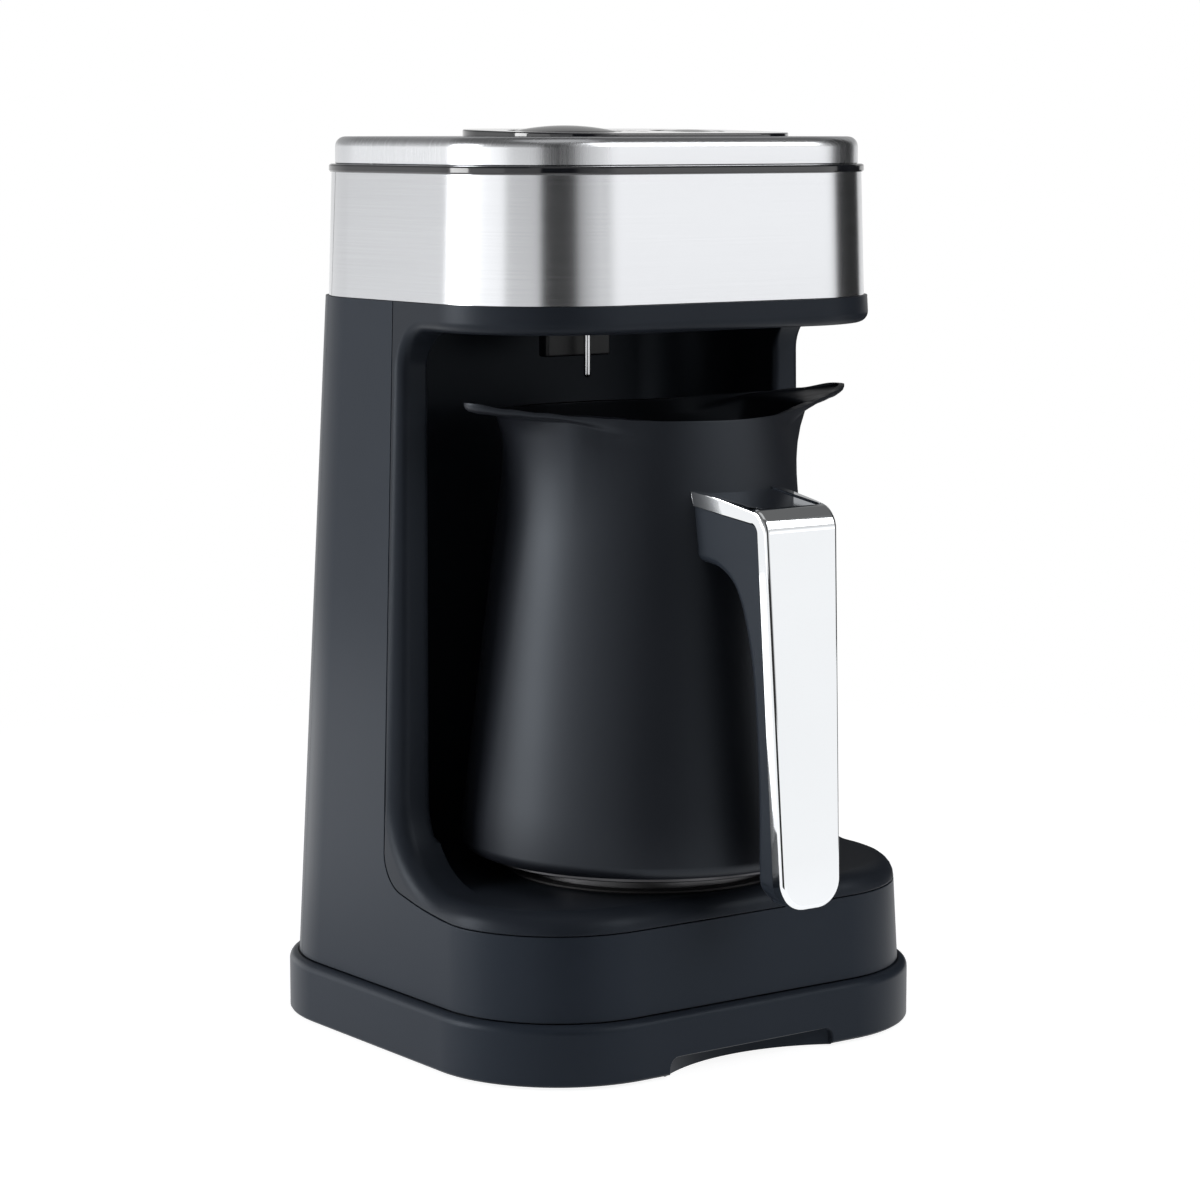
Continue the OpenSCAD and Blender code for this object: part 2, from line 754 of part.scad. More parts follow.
module hot_plate() {
    color("#8e9196") at() translate([0, pot_y, 0]) difference() {
        union() {
            translate([0, 0, plate_top - hot_t]) cylinder(r = plate_r, h = hot_t - 1, $fn = 96);
            translate([0, 0, plate_top - 1]) cylinder(r1 = plate_r, r2 = plate_r - 1, h = 1, $fn = 96);
            for (a = shield_angles()) rotate(a) translate([shield_screw_r(), 0, shield_z() + 1])
                cylinder(r = 3.2, h = plate_top - hot_t - shield_z(), $fn = 32);
        }
        for (a = shield_angles()) rotate(a) translate([shield_screw_r(), 0, 0])
            cylinder(r = screw_r + screw_gap, h = plate_top - hot_t + 2, $fn = 32);
    }
}

function shield_angles() = [30, 150, 270];
function shield_screw_r() = 33;
function shield_z() = plate_top - hot_t - shield_drop;

module plate_gasket() {
    color("#1b1c1e") at() translate([0, pot_y, 0]) {
        translate([0, 0, deck_z - wall]) ring_xy(plate_r + gasket_w, plate_r + 0.1, wall);
        translate([0, 0, deck_z]) ring_xy(plate_r + gasket_w + 2, plate_r + 0.1, 1);
    }
}

module heating_element() {
    z = plate_top - hot_t - element_r - 0.1;
    color("#77706a") at() translate([0, pot_y, z]) {
        rotate(100) rotate_extrude(angle = 340, $fn = 96) translate([element_ring, 0]) circle(element_r, $fn = 32);
        for (a = [100, 80]) rotate(a) translate([element_ring, 0, -13]) cylinder(r = element_r, h = 13, $fn = 32);
    }
}

module heat_shield() {
    rim_r = plate_r + 5;
    z = shield_z();
    color("#a9adb2") at() translate([0, pot_y, 0]) difference() {
        translate([0, 0, z]) cylinder(r = rim_r, h = deck_z - wall - z, $fn = 96);
        translate([0, 0, z + 1]) cylinder(r = rim_r - 1, h = big, $fn = 96);
        for (a = shield_angles()) rotate(a) translate([shield_screw_r(), 0, 0])
            cylinder(r = screw_r + 0.25, h = z + 2, $fn = 32);
        for (a = [100, 80]) rotate(a) translate([element_ring, 0, 0]) cylinder(r = element_r + 1, h = z + 2, $fn = 32);
        cylinder(r = 10, h = z + 2, $fn = 48);
    }
}

module thermostat() {
    z = plate_top - hot_t;
    color("#cfc7b8") at() translate([0, pot_y, 0]) {
        translate([0, 0, z - 6]) cylinder(r = 8, h = 6, $fn = 48);
        for (x = [-5, 5]) translate([x - 0.4, -3, z - 15]) cube([0.8, 6, 10]);
    }
}

module thermal_fuse() {
    z = plate_top - hot_t;
    color("#d9d9d9") at() translate([14, pot_y - 6, z - 2.1]) rotate([-90, 0, 0]) {
        cylinder(r = 2, h = 12, $fn = 32);
        translate([0, 0, -10]) cylinder(r = 0.5, h = 32, $fn = 16);
    }
}

function collar_r() = 4;

module foam_probe() {
    color("#d5d8dc") at() translate([0, probe_y, probe_z]) {
        translate([0, 0, probe_r]) cylinder(r = probe_r, h = mouth_top + wall + 8 - probe_z - probe_r, $fn = 32);
        intersection() {
            translate([0, 0, probe_r]) sphere(probe_r, $fn = 32);
            translate([0, 0, -1]) cylinder(r = 2 * probe_r, h = 1 + probe_r, $fn = 32);
        }
    }
}

module probe_holder() {
    color("#2a2e34") at() translate([0, probe_y, 0]) difference() {
        union() {
            translate([0, 0, mouth_top - 2]) cylinder(r = collar_r(), h = wall + 6, $fn = 48);
            translate([0, 0, mouth_top + wall]) cylinder(r = collar_r() + 3, h = 2, $fn = 48);
            translate([-12, collar_r(), mouth_top - 11]) cube([24, 5, 11]);
            translate([-collar_r(), 0, mouth_top - 2]) cube([2 * collar_r(), collar_r() + 1, 2]);
        }
        translate([0, 0, mouth_top - 20]) cylinder(r = probe_r + screw_gap, h = 60, $fn = 32);
    }
}

// ---------- fasteners ----------

module base_screws() {
    color("#9aa0a6") at() for (y = post_ys, x = [-post_x, post_x])
        translate([x, y, plate_z]) screw(screw_r, 20, 3.1, 1.3);
}

module shield_screws() {
    color("#9aa0a6") at() translate([0, pot_y, 0]) for (a = shield_angles())
        rotate(a) translate([shield_screw_r(), 0, shield_z()]) screw(screw_r, 9, 3, 1.8);
}

module cover_screws() {
    color("#9aa0a6") at() for (z = cover_screw_zs(), x = [-1, 1])
        translate([x * cover_screw_x(), cover_seat(z) + 1.6, z]) rotate([90, 0, 0]) screw(screw_r, 12, 3, 1.2);
}

module lid_screws() {
    color("#9aa0a6") at() for (p = lid_screw_at())
        translate([p[0], p[1], ring_z - wall]) screw(screw_r, 8, 3, 1.8);
}

module board_screws() {
    color("#9aa0a6") at() for (p = board_post_at())
        translate([p[0], p[1], board_z]) screw(1, 6.5, 2, 1.2);
}

// ---------- pot ----------

module at_pot() { at() translate([0, pot_y, 0]) children(); }

// wall of the pot as a cone, grown by g
module pot_cone(g, z0, z1) {
    translate([0, 0, z0]) cylinder(r1 = pot_r_at(z0) + g, r2 = pot_r_at(z1) + g, h = z1 - z0, $fn = 128);
}

// the rim and its two pouring lips, drawn in by g; up stretches it above the rim
module lips(g, up) {
    hull() {
        translate([0, 0, pot_rim_z - 1.5 + g]) cylinder(r = pot_rim_r - 0.3 - g, h = 1.5 - g + up, $fn = 96);
        for (side = [-1, 1])
            translate([side * (spout_reach - spout_tip_r), -spout_lean, pot_rim_z + spout_rise - 2.8 + g])
                cylinder(r = spout_tip_r - g, h = 2.8 - g + up, $fn = 32);
    }
}

// the wall drawn out under the lips, drawn in by g; up stretches it above the rim
module flare(g, up) {
    z = pot_rim_z - flare_h;
    r = 26;
    hull() {
        translate([0, 0, z]) cylinder(r = pot_r_at(z) - 0.4 - g, h = 0.05, $fn = 96);
        for (side = [-1, 1]) translate([side * (pot_rim_r + 5 - r), 0, pot_rim_z - 2])
            cylinder(r = r - g, h = 1 + up, $fn = 48);
    }
}

module pot_shell() {
    inner_r = pot_foot_r - pot_wall;
    color("#1d1f22") at_pot() difference() {
        union() {
            rotate_extrude($fn = 128) polygon(concat([[0, pot_z]],
                arc([pot_foot_r - pot_foot_round, pot_z + pot_foot_round], pot_foot_round, -90, 0, 6),
                [[pot_rim_r, pot_rim_z], [0, pot_rim_z]]));
            lips(0, 0);
            flare(0, 0);
            // stud that takes the handle's screw
            translate([0, -pot_r_at(stud_z()) + 1, stud_z()]) rotate([90, 0, 0])
                cylinder(r = 4, h = stud_l() + 1, $fn = 32);
        }
        // room inside
        translate([0, 0, pot_z + 2]) rotate_extrude($fn = 128) polygon([[0, 0], [inner_r - 5, 0],
            [inner_r - 1, 4], [pot_rim_r - pot_wall, pot_rim_z - pot_z - 2], [pot_rim_r - pot_wall, 60 + pot_rim_z - pot_z],
            [0, 60 + pot_rim_z - pot_z]]);
        lips(pot_wall, 30);
        flare(pot_wall, 30);
        translate([0, -pot_r_at(stud_z()) - 0.5, stud_z()]) rotate([90, 0, 0])
            cylinder(r = screw_r + screw_gap, h = 30, $fn = 24);
    }
}

function stud_z() = handle_top - 12;
function stud_l() = 6;

module pot_base_disc() {
    color("#b9bcc0") at_pot() translate([0, 0, disc_z]) cylinder(r = disc_r, h = disc_t, $fn = 128);
}

// ---------- handle ----------

// front line of the handle, moved back by d, as a point at height z
function front_pt(z, d) = [front_y(z) + d, z];
function top_pt(y, d) = [y, handle_top - d - handle_fall * (1 - (y - handle_y) / (root_y() - handle_y))];
function root_y() = pot_y - pot_rim_r;

// side profile of the handle's front-and-top edge, set in by d
function edge_profile(d) = concat([front_pt(handle_low, d)], [front_pt(handle_top - handle_fall - 6, d)],
    [[handle_y + d + 1.2, handle_top - handle_fall - d - 1.2]], [top_pt(handle_y + d + 5, d)], [top_pt(root_y() + 8, d)]);

// front view of the handle: tapered sides and a rounded lower end
module handle_front(grow) {
    r = 8;
    rotate([90, 0, 0]) linear_extrude(height = big, center = true) union() {
        polygon([[-handle_low_w / 2 - grow, handle_low + r], [handle_low_w / 2 + grow, handle_low + r],
            [handle_w / 2 + grow, handle_top + 5], [-handle_w / 2 - grow, handle_top + 5]]);
        for (x = [-1, 1]) translate([x * (handle_low_w / 2 - r + grow), handle_low + r]) circle(r, $fn = 48);
        translate([-handle_low_w / 2 + r - grow, handle_low]) square([handle_low_w - 2 * r + 2 * grow, r]);
    }
}

// the grip's hollow for the fingers, as side profile points from the root down
function grip_back() = [[root_y() + 8, handle_top - 19], [root_y() - 5, handle_top - 19.5],
    [root_y() - 11, handle_top - 21.5], [root_y() - 16.5, handle_top - 27], [root_y() - 21, handle_top - 36],
    [root_y() - 23.3, handle_top - 50], [root_y() - 23.2, handle_top - 70], [handle_low_y + 15, handle_low + 12],
    [handle_low_y + 14.4, handle_low + 5], [handle_low_y + 11, handle_low + 1.5]];

module handle_grip() {
    color("#2c2f34") at() difference() {
        intersection() {
            along_x(concat([for (i = [4:-1:0]) edge_profile(trim_t + fit)[i]],
                [for (i = [9:-1:0]) grip_back()[i]]));
            handle_front(-0.3);
        }
        translate([0, pot_y, 0]) pot_cone(0.1, pot_z, pot_rim_z - 8);
        // pocket for the bracket and the stud
        translate([-bracket_w() / 2 - fit, bracket_y() - bracket_t() - fit, stud_z() - bracket_h() / 2 - fit])
            cube([bracket_w() + 2 * fit, stud_l() + bracket_t() + 16, bracket_h() + 2 * fit]);
        translate([0, handle_y - 10, stud_z()]) rotate([-90, 0, 0]) cylinder(r = screw_r + 0.2, h = 60, $fn = 24);
        translate([0, handle_y - 10, stud_z()]) rotate([-90, 0, 0])
            cylinder(r = 3.4, h = screw_seat_y() - handle_y + 10, $fn = 32);
    }
}

function bracket_w() = 16;
function bracket_h() = 10;
function bracket_t() = 1.5;
function stud_y() = pot_y - pot_r_at(stud_z());
function bracket_y() = stud_y() - stud_l();
function screw_seat_y() = bracket_y() - bracket_t() - 4;

module handle_bracket() {
    color("#b4b7bb") at() difference() {
        union() {
            translate([-bracket_w() / 2, bracket_y() - bracket_t(), stud_z() - bracket_h() / 2])
                cube([bracket_w(), bracket_t(), bracket_h()]);
            for (x = [-bracket_w() / 2, bracket_w() / 2 - bracket_t()])
                translate([x, bracket_y() - bracket_t(), stud_z() - bracket_h() / 2])
                    cube([bracket_t(), stud_l() + bracket_t() + 8, bracket_h()]);
        }
        translate([0, pot_y, 0]) pot_cone(0.1, pot_z, pot_rim_z - 8);
        translate([0, bracket_y() - 5, stud_z()]) rotate([-90, 0, 0]) cylinder(r = screw_r + 0.2, h = 20, $fn = 24);
    }
}

module handle_trim() {
    color("#d6d8db") at() difference() {
        intersection() {
            along_x(concat(edge_profile(0), [for (i = [4:-1:0]) edge_profile(trim_t)[i]]));
            handle_front(0);
        }
        // the pad's bed between the two top edges
        translate([-handle_w / 2 + trim_edge, handle_y + 5, handle_top - 20]) cube([handle_w - 2 * trim_edge, 60, 40]);
        translate([0, pot_y, 0]) pot_cone(0.1, pot_z, pot_rim_z - 8);
    }
}

module handle_pad() {
    color("#15181f") at() difference() {
        intersection() {
            along_x([top_pt(handle_y + 5 + fit, 0.4), top_pt(root_y() + 8, 0.4),
                top_pt(root_y() + 8, trim_t), top_pt(handle_y + 5 + fit, trim_t)]);
            translate([-handle_w / 2 + trim_edge + fit, -big / 2, 0]) cube([handle_w - 2 * (trim_edge + fit), big, big]);
        }
        translate([0, pot_y, 0]) pot_cone(0.1, pot_z, pot_rim_z - 8);
    }
}

module handle_screw() {
    color("#9aa0a6") at() translate([0, screw_seat_y(), stud_z()]) rotate([-90, 0, 0])
        screw(screw_r, bracket_t() + 4 + stud_l() - 1, 3, 2);
}

base_skirt();
bottom_plate();
rubber_feet();
outer_shell();
niche_liner();
rear_cover();
head_frame();
steel_band();
rear_band();
trim_ring();
top_cover();
control_panel();
indicator_lens();
start_button();
cup_button();
control_board();
tact_switches();
buzzer();
power_board();
relay();
transformer();
terminal_block();
cord_gland();
supply_wires();
signal_wires();
hot_plate();
plate_gasket();
heating_element();
heat_shield();
thermostat();
thermal_fuse();
foam_probe();
probe_holder();
base_screws();
shield_screws();
cover_screws();
lid_screws();
board_screws();
pot_shell();
pot_base_disc();
handle_bracket();
handle_grip();
handle_trim();
handle_pad();
handle_screw();
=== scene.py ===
# %% [markdown]
# # A one-pot machine for Turkish coffee
# The machine is a dark plastic body with a bay cut into its front, a brushed steel band and a
# steel cover round its head, and a coated pot with a chrome-fronted handle that lifts out.
# The imported frame comes first: its pieces are measured and right, so everything new is drawn
# to the same numbers and only looks better.

# %% Load the frame
import math
import bmesh
import bpy
from mathutils import Matrix, Vector
from mathutils.geometry import intersect_point_line


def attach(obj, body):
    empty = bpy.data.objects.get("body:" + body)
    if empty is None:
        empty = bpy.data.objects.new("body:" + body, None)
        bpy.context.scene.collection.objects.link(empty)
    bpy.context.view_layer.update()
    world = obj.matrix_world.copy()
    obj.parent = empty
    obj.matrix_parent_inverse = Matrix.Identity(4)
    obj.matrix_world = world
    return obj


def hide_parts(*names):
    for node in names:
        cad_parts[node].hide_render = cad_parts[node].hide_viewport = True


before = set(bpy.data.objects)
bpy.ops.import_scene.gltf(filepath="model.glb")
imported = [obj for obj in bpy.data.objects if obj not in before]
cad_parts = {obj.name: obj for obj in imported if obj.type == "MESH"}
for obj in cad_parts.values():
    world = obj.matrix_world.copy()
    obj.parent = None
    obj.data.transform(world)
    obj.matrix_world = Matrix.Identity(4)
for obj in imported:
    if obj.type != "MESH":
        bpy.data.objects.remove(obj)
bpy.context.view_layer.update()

# %% [markdown]
# ## Measures
# A maker thinks in millimetres from the middle of the body, so that is how every mesh below is
# drawn. One helper turns a finished bmesh into an object: it scales it to metres, moves it to
# the frame's place and leaves the object itself at the origin, where patterns and poses need it.

# %% Measures and the way to an object
MM = 0.001
AXIS_Y = 13.25            # the body's axis lies this far behind the frame's middle
BODY_FOOT = (19.0, 157.0, 149.0, 39.0)       # height, width, depth, corner radius
BODY_TOP = (220.0, 147.4, 125.4, 38.5)
WALL = 2.5
CORNERS = ((-1, -1), (1, -1), (1, 1), (-1, 1))


def mix(a, b, t):
    return a + (b - a) * t


def clamp(t):
    return min(max(t, 0.0), 1.0)


def make_piece(bm, name, sharp=30):
    """A bmesh in millimetres becomes an object in the frame, shaded smooth up to the sharp angle."""
    bmesh.ops.scale(bm, vec=(MM, MM, MM), verts=bm.verts)
    bmesh.ops.translate(bm, vec=(0, AXIS_Y * MM, 0), verts=bm.verts)
    mesh = bpy.data.meshes.new(name)
    bm.to_mesh(mesh)
    bm.free()
    mesh.shade_smooth()
    mesh.set_sharp_from_angle(angle=math.radians(sharp))
    piece = bpy.data.objects.new(name, mesh)
    bpy.context.scene.collection.objects.link(piece)
    even = piece.modifiers.new("even shading", "WEIGHTED_NORMAL")
    even.keep_sharp = True
    print(f"{name}: {len(mesh.polygons)} faces")
    return piece


print("millimetres from the body's axis, shifted by", AXIS_Y)

# %% [markdown]
# ## Four ways to rough out a shape
# Almost everything on the machine is a rounded rectangle drawn up through a few heights, a side
# profile drawn out sideways, or a profile turned round an axis. The rounding is a vertex bevel on
# four corners, which gives a true arc, and the walls between two heights are a bridge. Cutting one
# shape with another is left to the Boolean modifier, whose exact solver keeps flat faces flat.

# %% Loft rounded rectangles through their heights
def loft(levels, segments=20, rounded=CORNERS, shift=0.0):
    """levels holds (height, width, depth, radius); rounded names the corners that get the radius."""
    bm = bmesh.new()
    rims = []
    for z, width, depth, radius in levels:
        before = set(bm.verts)
        corners = [bm.verts.new((x * width / 2, y * depth / 2 + shift, z)) for x, y in CORNERS]
        bm.faces.new(corners)
        chosen = [v for v, c in zip(corners, CORNERS) if c in rounded]
        if radius > 0:
            bmesh.ops.bevel(bm, geom=chosen, offset=radius, offset_type="OFFSET", affect="VERTICES",
                            segments=segments, profile=0.5, material=-1)
        ring = {v for v in bm.verts if v not in before}
        rims.append([e for e in bm.edges if e.verts[0] in ring and e.verts[1] in ring])
        if 0 < len(rims) - 1 < len(levels) - 1:
            sheet = [f for f in bm.faces if all(v in ring for v in f.verts)]
            bmesh.ops.delete(bm, geom=sheet, context="FACES_ONLY")
    for low, high in zip(rims, rims[1:]):
        bmesh.ops.bridge_loops(bm, edges=low + high)
    bmesh.ops.recalc_face_normals(bm, faces=bm.faces)
    return bm


def level(size, z, inset=0.0):
    """One height of a loft: a (width, depth, corner radius) drawn in by inset on every side."""
    width, depth, radius = size
    return z, width - 2 * inset, depth - 2 * inset, radius - inset


def slab(size, z0, z1, segments=12, rounded=CORNERS, shift=0.0):
    """A loft that keeps one size between two heights."""
    return loft([(z0, *size), (z1, *size)], segments, rounded, shift)


# %% Draw a profile out along one axis
def drawn_out(points, rounds, half, axis="X", segments=12):
    """points are (y, z) for axis X or (x, z) for axis Y; rounds maps a point's index to its radius."""
    bm = bmesh.new()
    turn = (lambda a, b: (-half, a, b)) if axis == "X" else (lambda a, b: (a, -half, b))
    corners = [bm.verts.new(turn(a, b)) for a, b in points]
    bm.faces.new(corners)
    for i, radius in rounds.items():
        bmesh.ops.bevel(bm, geom=[corners[i]], offset=radius, offset_type="OFFSET",
                        affect="VERTICES", segments=segments, profile=0.5, material=-1)
    made = bmesh.ops.extrude_face_region(bm, geom=bm.faces[:])["geom"]
    step = (2 * half, 0, 0) if axis == "X" else (0, 2 * half, 0)
    bmesh.ops.translate(bm, vec=step, verts=[g for g in made if isinstance(g, bmesh.types.BMVert)])
    bmesh.ops.recalc_face_normals(bm, faces=bm.faces)
    return bm


# %% Turn a profile round an upright axis
def turned(points, centre=(0.0, 0.0), steps=96):
    """points are (radius, height) from the axis round and back to it, or a closed ring of them."""
    bm = bmesh.new()
    verts = [bm.verts.new((r, 0, z)) for r, z in points]
    closed = min(r for r, z in points) > 0
    pairs = zip(verts, verts[1:] + verts[:1]) if closed else zip(verts, verts[1:])
    for a, b in pairs:
        bm.edges.new((a, b))
    bmesh.ops.spin(bm, geom=bm.verts[:] + bm.edges[:], cent=(0, 0, 0), axis=(0, 0, 1),
                   angle=math.tau, steps=steps, use_merge=True)
    bmesh.ops.remove_doubles(bm, verts=bm.verts, dist=0.0005)
    bmesh.ops.recalc_face_normals(bm, faces=bm.faces)
    bmesh.ops.translate(bm, vec=(centre[0], centre[1], 0), verts=bm.verts)
    return bm


def rod(radius, z0, z1, centre=(0.0, 0.0), steps=48, tip=0.0):
    """A turned rod with its two ends eased by tip."""
    ends = [(0, z0), (radius - tip, z0), (radius, z0 + tip), (radius, z1 - tip), (radius - tip, z1), (0, z1)]
    return turned(ends if tip > 0 else [ends[0], (radius, z0), (radius, z1), ends[-1]], centre, steps)


# %% Cut, join and soften
def carve(solid, cutter, operation="DIFFERENCE"):
    """Cuts, joins or intersects two bmeshes, both used up, and gives a new one."""
    tools = []
    for bm in (solid, cutter):
        mesh = bpy.data.meshes.new("roughed")
        bm.to_mesh(mesh)
        bm.free()
        tools.append(bpy.data.objects.new("roughed", mesh))
        bpy.context.scene.collection.objects.link(tools[-1])
    cut = tools[0].modifiers.new("cut", "BOOLEAN")
    cut.object, cut.operation, cut.solver = tools[1], operation, "EXACT"
    result = bmesh.new()
    result.from_object(tools[0], bpy.context.evaluated_depsgraph_get())
    for tool in tools:
        bpy.data.meshes.remove(tool.data)
    bmesh.ops.remove_doubles(result, verts=result.verts, dist=0.002)
    return result


def soften(bm, radius, segments, where, angle=25):
    """Bevels the edges sharper than angle whose two ends both pass the test."""
    edges = [e for e in bm.edges if e.is_manifold and math.degrees(e.calc_face_angle(0)) > angle
             and all(where(v.co) for v in e.verts)]
    bmesh.ops.bevel(bm, geom=edges, offset=radius, offset_type="OFFSET", affect="EDGES",
                    segments=segments, profile=0.5, material=-1, clamp_overlap=False)
    return len(edges)


print("helpers: loft, level, slab, drawn_out, turned, rod, carve, soften")

# %% [markdown]
# ## The body's skin
# On the real machine the body is one flowing form parted into mouldings: a liner at the front
# that makes the deck, the wings and the recess, a shell down each side, and a cover at the back.
# One form is made and then parted, so the seams meet exactly. The bay and the recess are cut out
# first, then one bevel runs all the way round the opening, over the deck's lip, the wings' noses
# and the head's rim. A bevel has one width, but the real rounding is fuller at the deck than at
# the head, so the bevel's points are then drawn in towards the edge that they came from.

# %% Shape the body before it is parted
DECK_Z, MOUTH_TOP, WING_Y = 50.0, 212.0, -6.0
MOUTH_R, MOUTH_TOP_R = 25.0, 11.0
NICHE_W, NICHE_Y, NICHE_R = 128.0, 36.5, 22.0
LIP_R, RIM_SHARE = 6.0, 0.55          # the rounding at the deck, and the share of it left at the head
WING_R, WING_SHARE = 3.0, 0.1         # the same for the edges of the recess
FAR = 300.0


def body_level(z, inset=0.0):
    t = (z - BODY_FOOT[0]) / (BODY_TOP[0] - BODY_FOOT[0])
    return level([mix(a, b, t) for a, b in zip(BODY_FOOT[1:], BODY_TOP[1:])], z, inset)


def off_body(p):
    """How far a point is outside the body's skin."""
    z, width, depth, radius = body_level(p.z)
    x, y = abs(p.x) - width / 2 + radius, abs(p.y) - depth / 2 + radius
    return math.hypot(max(x, 0), max(y, 0)) + min(max(x, y), 0) - radius


def bay(grow=0.0):
    back, low, high = WING_Y + grow, DECK_Z - grow, MOUTH_TOP + grow
    corners = [(-FAR, high), (-FAR, low), (back, low), (back, high)]
    return drawn_out(corners, {2: MOUTH_R, 3: MOUTH_TOP_R}, FAR, segments=14)


def recess(grow=0.0):
    front, back = WING_Y - MOUTH_R - grow, NICHE_Y + grow
    size = (NICHE_W + 2 * grow, back - front, NICHE_R + grow)
    return slab(size, DECK_Z - grow, MOUTH_TOP + grow, 16, CORNERS[2:], (front + back) / 2)


def body_solid(z0, z1, inset):
    solid = loft([body_level(z0, inset), body_level(z1, inset)], 24)
    return carve(carve(solid, bay(inset)), recess(inset))


def on_lip(p):
    return DECK_Z - 1 < p.z < MOUTH_TOP + 1 and abs(off_body(p)) < 0.15


def on_wing(p):
    return abs(abs(p.x) - NICHE_W / 2) < 0.05 and 60 < p.z < 210.5 and p.y < WING_Y + 0.05


def tighten(bm, chain, radius, share):
    """Draws a rounding in towards the sharp edges it was made from; share(z) is what is left of it."""
    for v in bm.verts:
        feet = (a.lerp(b, clamp(intersect_point_line(v.co, a, b)[1])) for a, b in chain)
        foot = min(feet, key=lambda place: (place - v.co).length)
        if (v.co - foot).length < radius * 1.05:
            v.co = foot + (v.co - foot) * share(foot.z)


def fading_edge(bm, radius, segments, where, least, start, over, low):
    """Softens a chain of edges; from start its rounding shrinks to least over a height.
    Nothing below low shrinks."""
    chain = [tuple(v.co.copy() for v in e.verts) for e in bm.edges
             if e.calc_face_angle(0) > 0.4 and all(where(v.co) and v.co.z > low for v in e.verts)]
    count = soften(bm, radius, segments, where)
    tighten(bm, chain, radius, lambda z: mix(1, least, clamp((z - start) / over)))
    return count


skin = body_solid(BODY_FOOT[0], BODY_TOP[0], 0.0)
lip_edges = fading_edge(skin, LIP_R, 6, on_lip, RIM_SHARE, 70, 40, 60)
wing_edges = fading_edge(skin, WING_R, 5, on_wing, WING_SHARE, 197, 12, 157)
skin = carve(skin, body_solid(BODY_FOOT[0] - 1, BODY_TOP[0] + 1, WALL))
print("body skin:", len(skin.faces), "faces,", lip_edges, "lip edges and", wing_edges, "wing edges softened")

# %% [markdown]
# ## Parting lines
# A real parting line is a hair-wide gap between two eased edges, and it reads as a fine dark line
# with a glint beside it. Each moulding is the skin kept on its own side of a cutting shape, and the
# shell's cutter is grown by the gap. The front line runs almost level under the deck's lip, turns
# up in a wide bend and climbs the side; the rear one follows the slant of the back.

# %% Part the skin along its seams
SEAM = ((-30.0, 43.7), (-0.6, 50.2), (-1.6, 216.0))
SEAM_ROUNDS = {2: 14.0, 3: 9.0}
REAR_WRAP, REAR_TOP = 25.6, 258.5
GAP, SPARE = 0.3, 0.02          # the seam's gap, and a hair that keeps two cuts from sharing a face


def front_of_seam(grow=0.0):
    line = [(y + grow, z - grow) for y, z in SEAM]
    outline = [(-FAR, FAR), (-FAR, line[0][1]), *line, (line[-1][0], FAR)]
    return drawn_out(outline, SEAM_ROUNDS, FAR, segments=16)


def seam_pieces(grow=0.0):
    """The seam's line in side view, as short straight pieces."""
    bm = front_of_seam(grow)
    pieces = [tuple(v.co.copy() for v in e.verts) for e in bm.edges if all(v.co.x < 0 for v in e.verts)]
    bm.free()
    return pieces


def rear_line(z):
    return body_level(z)[2] / 2 - REAR_WRAP


def behind_seam(grow=0.0):
    low, high = BODY_FOOT[0] - 2, REAR_TOP
    return drawn_out([(rear_line(low) - grow, low), (FAR, low), (FAR, high), (rear_line(high) - grow, high)],
                     {}, FAR)


def near_line(p, pieces):
    flat = Vector((-FAR, p.y, p.z))
    return any((hit[0] - flat).length < 0.1 and -0.01 < hit[1] < 1.01
               for hit in (intersect_point_line(flat, a, b) for a, b in pieces))


def within(inset):
    """Everything deeper than inset inside the body, so that a shell keeps to its own wall."""
    return loft([body_level(BODY_FOOT[0] - 2, inset), body_level(BODY_TOP[0] + 2, inset)], 24)


side_skin = carve(carve(skin.copy(), front_of_seam(GAP)), behind_seam(GAP))
side_skin = carve(side_skin, recess(WALL + GAP))
side_skin = carve(side_skin, within(WALL + SPARE))
own = carve(front_of_seam(), within(WALL + SPARE), "UNION")
liner = carve(skin, carve(own, recess(WALL + SPARE / 2), "UNION"), "INTERSECT")
for moulding, grow in ((liner, 0.0), (side_skin, GAP)):
    pieces = seam_pieces(grow)
    eased = soften(moulding, 0.25, 2, lambda p: -2.2 < off_body(p) < 0.1 and near_line(p, pieces))
    print("seam edges eased:", eased)

# %% [markdown]
# ### Screw posts on the liner
# The liner carries the posts that the base plate, the rear cover and the power board screw to, and
# has round holes for the hot plate and the probe. The posts are simple rods buried a little in the
# wall, and stay separate shells in the same mesh, which costs nothing and keeps its faces clean.

# %% Add the posts, and cut the holes for the hot plate and the probe
PLATE_R, GASKET_W, POT_Y, PROBE_Y = 38.0, 2.0, -26.0, 5.0
POST_R, POST_HOLE, BOARD_POST_R, BOARD_POST_HOLE, BOARD_GAP = 4.5, 1.55, 3.5, 1.0, 6.5
liner = carve(liner, rod(PLATE_R + GASKET_W + 0.15, DECK_Z - WALL - 1, DECK_Z + 1, (0, POT_Y), 96))
liner = carve(liner, rod(4.15, MOUTH_TOP - 1, MOUTH_TOP + WALL + 1, (0, PROBE_Y)))


def hollow_post(outer, inner, z0, z1):
    """A post turned with its screw hole, open at the lower end."""
    end = z1 - 2.0
    return turned([(0, z1), (outer, z1), (outer, z0), (inner, z0), (inner, end), (0, end)], steps=32)


def turn_x(degrees):
    return Matrix.Rotation(math.radians(degrees), 3, "X")


